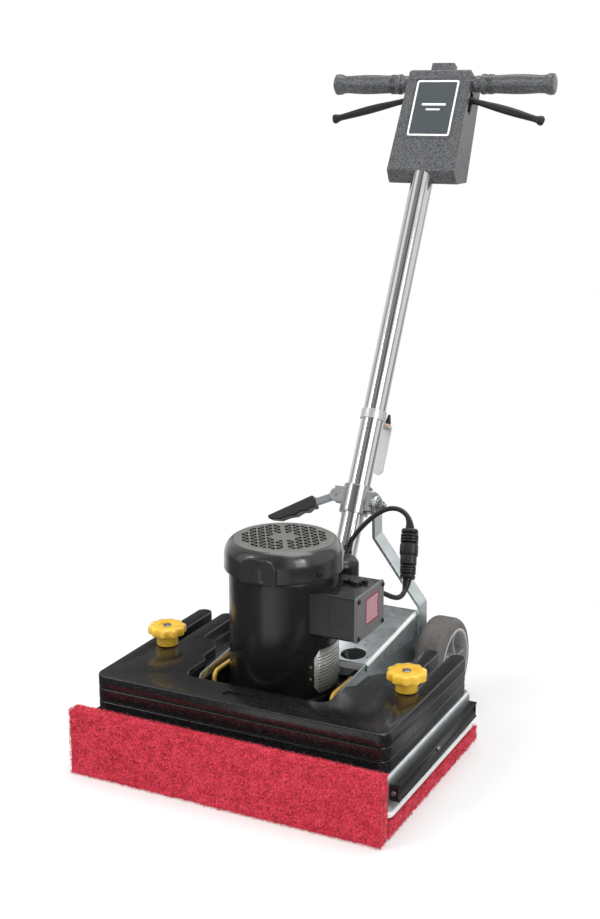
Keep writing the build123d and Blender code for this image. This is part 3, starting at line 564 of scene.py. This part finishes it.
def fan_cover():
    """The pressed cover: rounded shoulder, rolled lip, flat boss in front and a grille of triangles."""
    bend = [math.radians(9 * k) for k in range(11)]
    outer = [(70 + 20 * math.cos(a), 324 + 26 * math.sin(a)) for a in bend]
    inner = [(70 + 17.5 * math.cos(a), 324 + 23.5 * math.sin(a)) for a in reversed(bend)]
    lip = [(90, 310), (90.4, 308.6), (90.4, 305.2), (89.6, 304.1), (83.2, 304.1), (83.2, 306), (87.5, 306)]
    profile = [(0.02, MOTOR_TOP)] + outer[::-1] + lip + inner[::-1] + [(0.02, MOTOR_TOP - 2.5)]
    form = Form().lathe(profile, MOTOR, 160, wrap=True)
    cover = form.done("fan_cover_form", "black_paint", "head", ["fan_cover"], sharp=40, look=COVER_PAINT)
    side, rows, web, spoke, middle, reach_of_holes = 14.2, 5, 2.3, 2.5, 17, 64
    row = side * 3**0.5 / 2
    holes = Form()
    for j in range(-rows, rows):
        for i in range(-2 * rows, 2 * rows + 1):
            upright = (i + j) % 2 == 1
            x, y = side * i / 2, row * (j + (1 / 3 if upright else 2 / 3))
            across = [abs(x * math.cos(a) + y * math.sin(a)) for a in map(math.radians, (30, 90, 150))]
            if max(across) > row * rows or max(across) < middle or math.hypot(x, y) > reach_of_holes:
                continue
            away = math.copysign(spoke, x * math.cos(math.pi / 6) + y * math.sin(math.pi / 6))
            x, y = x + away * math.cos(math.pi / 6), y + away * math.sin(math.pi / 6)
            reach, first = side / 3**0.5 - web, math.pi / 2 if upright else -math.pi / 2
            tips = [first + 2 * math.pi * k / 3 for k in range(3)]
            hole = [(x + reach * math.cos(t), y + MOTOR_Y + reach * math.sin(t)) for t in tips]
            holes.prism(hole, MOTOR_TOP - 5, MOTOR_TOP + 2)
    carve(cover, holes)
    # Upward faces of the grille take the lighter top finish: painted light.
    cover.data.materials.append(COVER_TOP_PAINTED_LIGHT)
    for face in cover.data.polygons:
        if face.normal.z > 0.9 and face.center.z > (MOTOR_TOP - 1) * MM:
            face.material_index = 1
    arch = rounded([(-27, 302.5, 2), (32, 302.5, 2), (32, 340, 17), (-27, 340, 17)], 9)
    boss = Form().prism(arch, 80, 85.6, TO_FRONT)
    boss.done("fan_cover_boss", "black_paint", "head", bevel=0.9, look=COVER_PAINT)


def motor():
    wall = MOTOR_R
    body = Form().lathe([(0.01, 86.05), (74, 86.05), (79, 87.5), (82, 90.5), (wall, 95), (wall, 118.4),
                         (82.3, 119), (82.3, 120), (wall, 120.6), (wall, 296), (82.6, 299), (81.4, 303.9),
                         (0.01, 303.9)], MOTOR, 160)
    body.done("motor_housing_form", "black_paint", "head", ["motor_housing"], sharp=50)
    fan_cover()
    carry("nameplate", LOOKS["plate_label"])
    carry("capacitor_cover", LOOKS["black_paint"], 0.5)
    carry("terminal_box", LOOKS["black_paint"], 1.2)
    carry("terminal_box_lid", LID, 0.5)
    carry("knockout_plug", LOOKS["black_plastic"], 0.6)
    carry("lead_gland", LOOKS["black_plastic"], 0.5)
    for name in ("motor_bearings", "motor_shaft", "driver_bearing", "eccentric_hub"):
        carry(name, LOOKS["steel"])
    for name in ("stator", "rotor_core"):
        carry(name, LOOKS["core_steel"])
    for name in ("cooling_fan", "bearing_housing"):
        carry(name, LOOKS["aluminium_plate"])
    screws = Form()
    for turn in (-118, 62, 152):
        out = outward(turn)
        spot = Vector((0, MOTOR_Y, 316)) + out * FAN_COVER_R
        screws.lathe([(0.01, -1), (4.6, -1), (4.6, 2.2), (3.8, 3.2), (0.01, 3.2)], place(spot, out), 6)
    for z in (298, 335):
        screw(screws, place((4, -78.8 if z < 300 else -85.6, z), (0, -1, 0)), 2.6, 1.4)
    screws.done("fan_cover_screws", "black_plastic", "head", bevel=0.3)
    outside = rounded([(-45.4, 220.6, 4), (53.4, 220.6, 4), (53.4, 289.4, 4), (-45.4, 289.4, 4)])
    inside = rounded([(-44, 222, 3), (52, 222, 3), (52, 288, 3), (-44, 288, 3)])
    seam = Form().border(outside, inside, 97, 98.4, UPRIGHT)
    seam.done("terminal_box_seam", "black_paint", "head")
    print_rows()
    lid = Form()
    for y in (-39.5, 47.5):
        for z in (226.5, 283.5):
            screw(lid, place((143, y, z), (1, 0, 0)), 3.9, 2.4)
    lid.done("lid_screws", "black_plastic", "head")
    panel = rounded([(-14, 238, 2), (34, 238, 2), (34, 280, 2), (-14, 280, 2)], 4)
    label = Form().prism(panel, 142.9, 143.35, UPRIGHT)
    label.done("lid_label", "plate_label", "head", look=PINK_PRINT)
    rows, rng = Form(), random.Random("label")
    for z in range(242, 278, 4):
        y = -11.0
        while y < 26:
            wide = rng.uniform(2, 6)
            rows.box(y, y + wide, z, z + 1.9, 143.2, 143.5, UPRIGHT)
            y += wide + 1.6
    rows.done("lid_label_rows", "plate_label", "head", look=PALE_PINK)
    rivets = Form()
    for turn in (55.5, 114.5):
        out = outward(turn)
        for z in (150, 170):
            at = place(Vector((0, MOTOR_Y, z)) + out * (MOTOR_R - 0.1), out)
            rivets.lathe([(0.01, 0), (2.4, 0), (1.7, 1.2), (0.01, 1.5)], at, 16)
    rivets.done("nameplate_rivets", "steel", "head")


# ---- leads --------------------------------------------------------------------------------
MOTOR_LEAD = [(118, 73, 255), (118.8, 90, 253.5), (122, 106, 246), (127, 121, 237), (131.5, 136.5, 230.5),
              (133.8, 151.5, 231.5), (133.4, 164.5, 239.5), (132, 173, 251)]
HANDLE_LEAD = [(120, 210, 320), (117, 216, 332.5), (107.5, 220, 343.5), (92.5, 221.5, 349),
               (75, 219.5, 346.5), (58.5, 213, 336), (43.5, 206, 321), (30.5, 200, 304.5),
               (20.5, 197.5, 288), (14, 202, 273.5), (9, 212.5, 262.5), (3, 223.5, 258)]
CORD_R = 4


def spline(name, points):
    """A smooth open line with the route's points as its control points."""
    curve = bpy.data.curves.new(name, "CURVE")
    curve.dimensions = "3D"
    line = curve.splines.new("NURBS")
    line.points.add(len(points) - 1)
    for knot, point in zip(line.points, points):
        knot.co = (*(Vector(point) * MM), 1)
    line.order_u = 3
    line.use_endpoint_u = True
    curve.resolution_u = 12
    ob = bpy.data.objects.new(name, curve)
    bpy.context.collection.objects.link(ob)
    return ob


def read_line(points):
    """Points along the smooth line of a route, in millimetres."""
    ob = spline("guide", points)
    mesh = bpy.data.meshes.new_from_object(ob)
    line = [v.co / MM for v in mesh.vertices]
    bpy.data.objects.remove(ob)
    return line


def stretch(line, start, end, step=0.5):
    """Evenly spaced points on a line between two lengths along it."""
    out, gone, want = [], 0.0, start
    for a, b in zip(line, line[1:]):
        run = (b - a).length
        while want <= min(gone + run, end):
            out.append(a.lerp(b, (want - gone) / run))
            want += step
        gone += run
    return out


def boot(form, line, long, r_in, r_out):
    """A tapered, ribbed strain relief over the first stretch of a cord."""
    spots = stretch(line, 0, long)
    radii = []
    for i in range(len(spots)):
        s = i / (len(spots) - 1)
        groove = 0.9 if (i % 7) in (4, 5, 6) and 0.08 < s < 0.94 else 0
        radii.append(max(r_out + 0.3, r_in + (r_out + 0.5 - r_in) * s - groove))
    radii[-1] = r_out + 0.2
    form.tube(spots, radii)


def connector(form, low, high, levels):
    """A moulded connector half along the line from one lead's end to the other's."""
    axis = Vector(HANDLE_LEAD[0]) - Vector(MOTOR_LEAD[-1])
    turned = Matrix.Translation(MOTOR_LEAD[-1]) @ axis.to_track_quat("Z", "X").to_matrix().to_4x4()
    rings = []
    for s, wide, deep in levels:
        along = axis.length * (low + (high - low) * s)
        rings.append([(wide / 2 * c, deep / 2 * d, along) for c, d in squarish(56, 0.6)])
    form.shell(rings, turned)


def ribbed(first, wide, deep):
    """Levels of a connector half: flange by its lead, waist with grip ribs, block at the joint."""
    shape = [(0, 0.62), (0.015, 0.86), (0.05, 0.92), (0.13, 0.92), (0.16, 0.78), (0.19, 0.72)]
    for k in range(3):
        s = 0.22 + 0.11 * k
        shape += [(s, 0.74), (s + 0.012, 0.96), (s + 0.066, 0.96), (s + 0.078, 0.74)]
    shape += [(0.56, 0.80), (0.60, 0.98), (0.64, 1), (0.96, 1), (1, 0.97)]
    levels = [(s, wide * k, deep * k) for s, k in shape]
    return levels if first else [(1 - s, w, d) for s, w, d in reversed(levels)]


def leads():
    lower = read_line(MOTOR_LEAD)
    upper = read_line(HANDLE_LEAD)
    plug = Form()
    connector(plug, 0, 0.47, ribbed(True, 30, 26))
    boot(plug, list(reversed(lower)), 20, 7.6, CORD_R)
    plug = plug.done("lead_plug_form", "cord_rubber", "head", ["lead_plug"], sharp=45)
    socket = Form()
    connector(socket, 0.475, 1, ribbed(False, 33.5, 29))
    boot(socket, upper, 20, 7.6, CORD_R)
    socket = socket.done("lead_socket_form", "cord_rubber", "head", ["lead_socket"], sharp=45)
    cord = spline("motor_lead_cord", MOTOR_LEAD)
    cord.data.bevel_depth, cord.data.bevel_resolution, cord.data.use_fill_caps = CORD_R * MM, 6, True
    cord.data.materials.append(LOOKS["cord_rubber"])
    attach(cord, "head")
    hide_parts("motor_lead")
    tube = Form().tube(upper, [CORD_R] * len(upper))
    tube = tube.done("handle_lead_cord", "cord_rubber", None, ["handle_lead"])
    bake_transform(tube)
    grommet = place(HANDLE @ Vector((9.6, -16.6, 167)), (HANDLE.to_3x3() @ Vector((0.5, -0.866, 0))))
    lip = [(4.6, -2), (7.6, 0.4), (8.4, 2.2), (7.4, 3.4), (5.4, 3.2), (4.6, 1.5)]
    ring = Form().lathe(lip, grommet, 40, wrap=True)
    ring.done("tube_grommet", "black_plastic", "handle")
    nut = [(4.4, 0), (8.2, 0), (8.2, 2.5), (7, 3.2), (7, 5), (7.8, 5.6), (7.8, 8), (6.4, 9), (4.4, 9)]
    gland = Form().lathe(nut, place((118, 59, 255), (0, 1, 0)), 32, wrap=True)
    gland.done("gland_rings", "black_plastic", "head", sharp=45)


# ---- chassis and wheels -------------------------------------------------------------------
def tray_look():
    """Zinc outside and on the rims, near black inside as painted shade: told apart by which way a face looks.
    """
    inside_of, rim_height = (0, 0.1, 0.3), 0.122       # a point over the tray's middle; metres
    look = finish("tray_zinc_and_painted_shade", (0.56, 0.61, 0.62), 0.9, 0.36, smudge=(90, 0.3, 0.44))
    tree = look.node_tree
    link = tree.links.new
    skin, out = tree.nodes["Principled BSDF"], tree.nodes["Material Output"]
    # Near-black surface for the tray's inside: painted shade.
    inside = tree.nodes.new("ShaderNodeBsdfPrincipled")
    inside.inputs["Base Color"].default_value = (0.012, 0.012, 0.013, 1)
    inside.inputs["Roughness"].default_value = 0.4
    spot = tree.nodes.new("ShaderNodeVectorMath")
    spot.operation = "SUBTRACT"
    spot.inputs[1].default_value = inside_of
    facing = tree.nodes.new("ShaderNodeNewGeometry")
    dot = tree.nodes.new("ShaderNodeVectorMath")
    dot.operation = "DOT_PRODUCT"
    part = tree.nodes.new("ShaderNodeSeparateXYZ")
    low = tree.nodes.new("ShaderNodeMath")
    low.operation = "LESS_THAN"
    low.inputs[1].default_value = rim_height
    inward = tree.nodes.new("ShaderNodeMath")
    inward.operation = "LESS_THAN"
    inward.inputs[1].default_value = 0
    both = tree.nodes.new("ShaderNodeMath")
    both.operation = "MULTIPLY"
    mix = tree.nodes.new("ShaderNodeMixShader")
    coordinates = tree.nodes["Texture Coordinate"].outputs["Object"]
    link(coordinates, spot.inputs[0])
    link(coordinates, part.inputs[0])
    link(spot.outputs[0], dot.inputs[0])
    link(facing.outputs["Normal"], dot.inputs[1])
    link(dot.outputs["Value"], inward.inputs[0])
    link(part.outputs["Z"], low.inputs[0])
    link(low.outputs[0], both.inputs[0])
    link(inward.outputs[0], both.inputs[1])
    link(both.outputs[0], mix.inputs["Fac"])
    link(skin.outputs[0], mix.inputs[1])
    link(inside.outputs[0], mix.inputs[2])
    link(mix.outputs[0], out.inputs["Surface"])
    return look


def chassis():
    carry("chassis_tray", tray_look(), 0.7)
    carry("chassis_cover", LOOKS["zinc"], 0.7)
    flange = rounded([(66, 133, 4.6), (111.5, 133, 4.6), (111.5, 142.6, 4.6), (66, 142.6, 4.6)])
    for side, word in ((-1, "left"), (1, "right")):
        outline = [(side * x, z) for x, z in flange]
        # Near-white faces on the cover's front flanges: zinc drawn brighter than the shade they sit in,
        # painted light.
        strap = Form().prism(outline, -COVER_FRONT - 0.6, -COVER_FRONT + 0.8, TO_FRONT)
        # A thin near-white bead along each top fold of the cover: a painted highlight.
        fold = [(side * 110.5, y, 140.5 + COVER_RISE * (y - COVER_FRONT)) for y in (62.5, COVER_REAR)]
        highlight_bead = Form().tube(fold, [4.12, 4.12], sides=64)
        highlight_bead.done("cover_fold_highlight_" + word, "zinc", "head", look=PAINTED_LIGHT)
        strap.done("cover_strap_" + word, "zinc", "head", bevel=0.3, look=PAINTED_LIGHT)
    carry("lift_bails", LOOKS["yellow_paint"])
    carry("axle", LOOKS["steel"], 0.6)
    carry("axle_collars", LOOKS["steel"], 0.5)
    carry("pivot_brackets", LOOKS["zinc"], 0.5)
    carry("pivot_pin", LOOKS["steel"])


def wheel(side, word):
    at = Matrix.Translation(AXLE) @ Matrix.Rotation(side * math.pi / 2, 4, "Y")
    tyre = Form()
    bend = [math.pi / 2 * k / 9 for k in range(10)]
    shoulder = [(62 + 14 * math.sin(a), 164 + 14 * math.cos(a)) for a in bend]
    other = [(r, 306 - h) for r, h in reversed(shoulder)]
    bead = [(58.6, 130), (58.6, 176), (60, 177.6)]
    tyre.lathe(bead + shoulder + other + [(60, 128.4)], at, 128, wrap=True)
    tyre.done("tyre_%s_form" % word, "tyre_rubber", "wheel_" + word, ["wheel_tyre_" + word], sharp=60)
    hub = Form()
    hub.lathe([(58.8, 130), (58.8, 176), (57.6, 177.4), (54.6, 177.4), (53.4, 176), (51.6, 160), (51.6, 146),
               (53.4, 130.5), (55, 129), (57.6, 129)], at, 128, wrap=True)
    hub.lathe([(52.5, 149), (52.5, 156), (44, 153.5), (30, 156), (20, 160), (9, 160), (9, 146), (20, 146),
               (30, 147.5), (44, 148.5)], at, 96, wrap=True)
    sleeve = [(8.06, 128.2), (16, 128.2), (18, 130), (18, 158), (17, 176), (15.6, 177.8), (8.06, 177.8)]
    hub.lathe(sleeve, at, 64, wrap=True)
    for rib in range(5):
        rings = []
        for k in range(9):
            s = k / 8
            r, a = 15 + 38 * s, 2 * math.pi * rib / 5 + 0.42 * math.sin(s * math.pi / 2)
            out = Vector((math.cos(a), math.sin(a), 0))
            across = Vector((-out.y, out.x, 0))
            wide = 3.6 + 1.6 * (2 * s - 1) ** 2
            top = 175 - 5 * math.sin(s * math.pi)
            section = [(1, 150), (0.8, top - 1.2), (0.4, top), (-0.4, top), (-0.8, top - 1.2), (-1, 150)]
            rings.append([out * r + across * wide * share + Vector((0, 0, z)) for share, z in section])
        hub.shell(rings, at)
    hub.done("wheel_hub_%s_form" % word, "hub_plastic", "wheel_" + word, ["wheel_hub_" + word], sharp=40)
    bead = [(56, 176.5), (56.4, 178), (58.4, 178.3), (60.2, 177.8), (60.2, 176.5)]
    rim = Form().lathe(bead, at, 128, wrap=True)
    rim.done("wheel_rim_%s" % word, "hub_plastic", "wheel_" + word, look=PALE_RIM)
    nut = Form().lathe([(0.01, 185.6), (7.4, 185.6), (7.4, 189), (6.6, 190), (0.01, 190)], at, 6)
    nut.lathe([(8.1, 178.2), (13.6, 178.2), (14, 178.8), (14, 180), (8.1, 180)], at, 48, wrap=True)
    nut.done("axle_end_%s" % word, "steel", "head", bevel=0.3)


# ---- handle -------------------------------------------------------------------------------
def grip(form, side):
    """A moulded grip, six-sided with soft corners, waisted at its middle and flared at both ends."""
    at = HANDLE @ Matrix.Translation((0, 0, BAR_AT)) @ Matrix.Rotation(side * math.pi / 2, 4, "Y")
    levels = [(60, 13.2), (64, 14.6), (67, 15.2), (70, 14.4), (73.5, 14.2), (75, 17.2), (78, 18.2),
              (81.5, 17.4), (85, 15.8), (95, 15.6), (110, 16.2), (128, 17), (146, 17.2), (162, 16.6),
              (176, 15.6), (186, 15.6), (190, 16.4), (193.5, 18), (199, 18.6), (202, 18),
              (203.6, 15.6), (204, 10), (204, 0.2)]
    turns = [2 * math.pi * k / 72 for k in range(72)]
    rings = []
    for x, r in levels:
        flat = 0.055 if 84 < x < 190 else 0.02
        reach = [(t, r * (1 + flat * math.cos(6 * t))) for t in turns]
        rings.append([(edge * math.cos(t), edge * math.sin(t), x) for t, edge in reach])
    form.shell(rings, at)
    for k in range(3):
        x = 86.5 + 3.2 * k
        form.lathe([(14.5, x), (17, x + 0.4), (17, x + 1.6), (14.5, x + 2)], at, 64, wrap=True)


def lever(side, word):
    """A slim bowed finger lever: hub on its post, waisted arm, knob end."""
    levels = [(44, 984, 4, 4.6), (47, 983.4, 7.6, 5.4), (52, 982.6, 8, 5.4), (58, 981.8, 6.4, 5),
              (66, 980.2, 4.4, 4.4), (76, 977.8, 4.2, 4.4), (92, 973.4, 4.9, 4.8),
              (110, 968.6, 5.8, 5.2), (130, 963, 6.2, 5.4), (150, 957.2, 5.8, 5.2),
              (168, 951.8, 5, 5), (180, 948.4, 4.6, 4.8), (185, 947, 5.2, 5.2), (189, 945.8, 7, 6.2),
              (193, 944.6, 7.2, 6.2), (195.6, 943.8, 5.6, 5), (196.4, 943.6, 2, 2)]
    fuller = 1.15
    centres = [Vector((x, 0, z)) for x, z, _, _ in levels]
    rings = []
    for i, (x, z, high, deep) in enumerate(levels):
        ahead = (centres[min(i + 1, len(levels) - 1)] - centres[max(i - 1, 0)]).normalized()
        up = Vector((-ahead.z, 0, ahead.x))
        rings.append([centres[i] + up * fuller * high * c + Vector((0, deep * d, 0))
                      for c, d in squarish(32, 0.75)])
    flip = Matrix.Diagonal((side, 1, 1, 1))
    form = Form().shell(rings, HANDLE @ flip)
    form.box(37, 48, -4.8, 4.8, 975, 984, HANDLE @ flip)
    form.done("switch_lever_%s_form" % word, "black_plastic", "lever_" + word,
              ["switch_lever_" + word], sharp=60)


def handle():
    skin = [(19.05, h) for h in (18.6, 130, 148, 186, 204, 830, 839, 1005)]
    tube = Form().lathe(skin + [(18, 1006), (17.1, 1006), (17.1, 18), (18.4, 18)], HANDLE, 128, wrap=True)
    cross = HANDLE @ Matrix.Translation((0, 0, BAR_AT)) @ TO_X
    bar = Form().lathe([(11, -197), (11, 197), (9, 197), (9, -197)], cross, 64, wrap=True)
    upright = tube.done("handle_tube_form", "chrome_tube", "handle", ["handle_tube"], sharp=40)
    slot = rounded([(-6.5, -13, 6.4), (6.5, -13, 6.4), (6.5, 13, 6.4), (-6.5, 13, 6.4)])
    opening = HANDLE @ Matrix.Translation((0, 0, 167)) @ Matrix.Rotation(math.radians(30), 4, "Z") @ TO_FRONT
    carve(upright, Form().prism(slot, 12, 26, opening))
    carve(upright, Form().box(-30, 30, -30, -14.9, 841, 1010, HANDLE))
    bar.done("handlebar_form", "chrome_tube", "handle", sharp=40)
    carry("handle_foot", LOOKS["steel"])
    carry("cord_hook", PALE_HOOK, 0.5)
    carry("switch_blocks", LOOKS["black_plastic"])
    for name in ("control_box_front", "control_box_rear"):
        carry(name, LOOKS["grey_plastic"], 1.4, 30, 4)
    carry("lockout_button", LOOKS["grey_plastic"], 1.0)
    lever(-1, "left")
    lever(1, "right")
    grips = Form()
    grip(grips, -1)
    grip(grips, 1)
    grips.done("handle_grips_form", "grey_plastic", "handle", ["handle_grips"], sharp=50)
    decal()
    hook_tip()


def decal():
    """The box's front panel: a groove round it, a white border, a dark sheet and two plain bars."""
    front = HANDLE @ Matrix.Translation((0, -BOX_FRONT, 0)) @ TO_FRONT

    def sheet_outline(wide, low, high, r):
        return rounded([(-wide, low, r), (wide, low, r), (wide, high, r), (-wide, high, r)])
    groove = sheet_outline(43, 902, 1015, 6), sheet_outline(41.8, 903.2, 1013.8, 5)
    bezel = Form().border(*groove, -0.5, 0.7, front)
    bezel.done("decal_bezel", "grey_plastic", "handle")
    border = Form().prism(sheet_outline(39, 906, 1011, 4), -0.3, 0.35, front)
    border.done("decal_border", "grey_plastic", "handle", look=WHITE_PRINT)
    panel = Form().prism(sheet_outline(35.6, 909.4, 1007.6, 2), -0.2, 0.6, front)
    panel.done("decal_panel", "grey_plastic", "handle", look=SLATE_PRINT)
    bars = Form().box(-22, 22, 963, 967, 0.4, 0.8, front).box(-13, 13, 954, 957, 0.4, 0.8, front)
    bars.done("decal_bars", "grey_plastic", "handle", look=WHITE_PRINT)


def hook_tip():
    """The cord hook's orange band and its ribbed black tip."""
    ring = Form().lathe([(5.4, 403.2), (6.2, 404), (6.2, 407), (5.4, 407.8), (4.4, 407.8), (4.4, 403.2)],
                        HOOK, 32, wrap=True)
    ring.done("hook_band", "black_plastic", "handle", look=ORANGE)
    ribs = Form()
    for k in range(5):
        z, r = 409.5 + 3 * k, 5.6 - 0.65 * k
        ribs.lathe([(r - 1.4, z), (r, z + 0.4), (r, z + 1.6), (r - 1.4, z + 2)], HOOK, 24, wrap=True)
    ribs.lathe([(0.01, 408), (4.8, 408), (1.8, 425.2), (0.01, 425.4)], HOOK, 24)
    ribs.done("hook_tip_ribs", "black_plastic", "handle")


def collar():
    carry("tube_collar", LOOKS["steel"], 1.0)
    carry("collar_fasteners", LOOKS["steel"], 0.4)
    skin = [(19.5, 233.9), (22.6, 233.9), (24.2, 235.5), (24.2, 279.5), (22.6, 281.1), (19.5, 281.1)]
    sleeve = Form().lathe(skin, HANDLE, 96, wrap=True)
    sleeve.done("collar_sleeve", "steel", "collar", bevel=0.5, look=SLEEVE)
    carry("clamp_arm", DULL_ZINC, 0.8)
    carry("clamp_grip", LOOKS["black_plastic"], 1.8, 30, 4)
    carry("handle_strut", LOOKS["zinc"], 0.8)


# ---- stage --------------------------------------------------------------------------------
def floor():
    """A plain sheet, greyish round the machine and fading to white; polished faces see it banded."""
    mesh = bpy.data.meshes.new("floor")
    reach, near, far, least = 40, 0.38, 0.95, 0.34
    mesh.from_pydata([(-reach, -reach, 0), (reach, -reach, 0), (reach, reach, 0), (-reach, reach, 0)], [],
                     [(0, 1, 2, 3)])
    sheet = finish("floor", (0.93, 0.93, 0.93), 0, 0.6)
    mesh.materials.append(sheet)
    tree = sheet.node_tree
    glow = tree.nodes.new("ShaderNodeEmission")
    glow.inputs["Color"].default_value = (1, 1, 1, 1)
    away = tree.nodes.new("ShaderNodeVectorMath")
    away.operation = "LENGTH"
    fade = tree.nodes.new("ShaderNodeMapRange")
    fade.interpolation_type = "SMOOTHSTEP"
    fade.inputs["From Min"].default_value = near
    fade.inputs["From Max"].default_value = far
    fade.inputs["To Min"].default_value = least
    mix = tree.nodes.new("ShaderNodeMixShader")
    coordinates = tree.nodes["Texture Coordinate"].outputs["Object"]
    tree.links.new(coordinates, away.inputs[0])
    tree.links.new(away.outputs["Value"], fade.inputs["Value"])
    tree.links.new(fade.outputs[0], mix.inputs["Fac"])
    tree.links.new(tree.nodes["Principled BSDF"].outputs[0], mix.inputs[1])
    tree.links.new(glow.outputs[0], mix.inputs[2])
    path = tree.nodes.new("ShaderNodeLightPath")
    mirrored = tree.nodes.new("ShaderNodeEmission")
    pick = tree.nodes.new("ShaderNodeMixShader")
    tree.links.new(bands(tree, coordinates, GROUND), mirrored.inputs["Color"])
    tree.links.new(path.outputs["Is Glossy Ray"], pick.inputs["Fac"])
    tree.links.new(mix.outputs[0], pick.inputs[1])
    tree.links.new(mirrored.outputs[0], pick.inputs[2])
    tree.links.new(pick.outputs[0], tree.nodes["Material Output"].inputs["Surface"])
    ob = bpy.data.objects.new("floor", mesh)
    ob.location.z = -0.0006
    bpy.context.collection.objects.link(ob)


make_camera()
make_world()
leads()
pads()
deck()
weights()
knob(-1, "left")
knob(1, "right")
motor()
chassis()
wheel(-1, "left")
wheel(1, "right")
handle()
collar()
floor()
lamp("key", (-1.7, -1.9, 2.6), (0, 0, 0.35), (1.6, 1.6), 58, mirrored=False)
lamp("strip_left", (-2.0, -1.7, 2.0), (0, 0, 0.35), (0.45, 1.2), 8)
lamp("strip_right", (2.1, -0.9, 1.9), (0, 0, 0.35), (0.35, 1.1), 6)
lamp("fill", (2.4, -1.4, 1.5), (0, 0, 0.4), (1.0, 2.0), 20)
lamp("top", (0.2, 0.5, 3.0), (0, 0, 0), (2.4, 1.6), 38)
bpy.context.scene.view_settings.view_transform = "Standard"
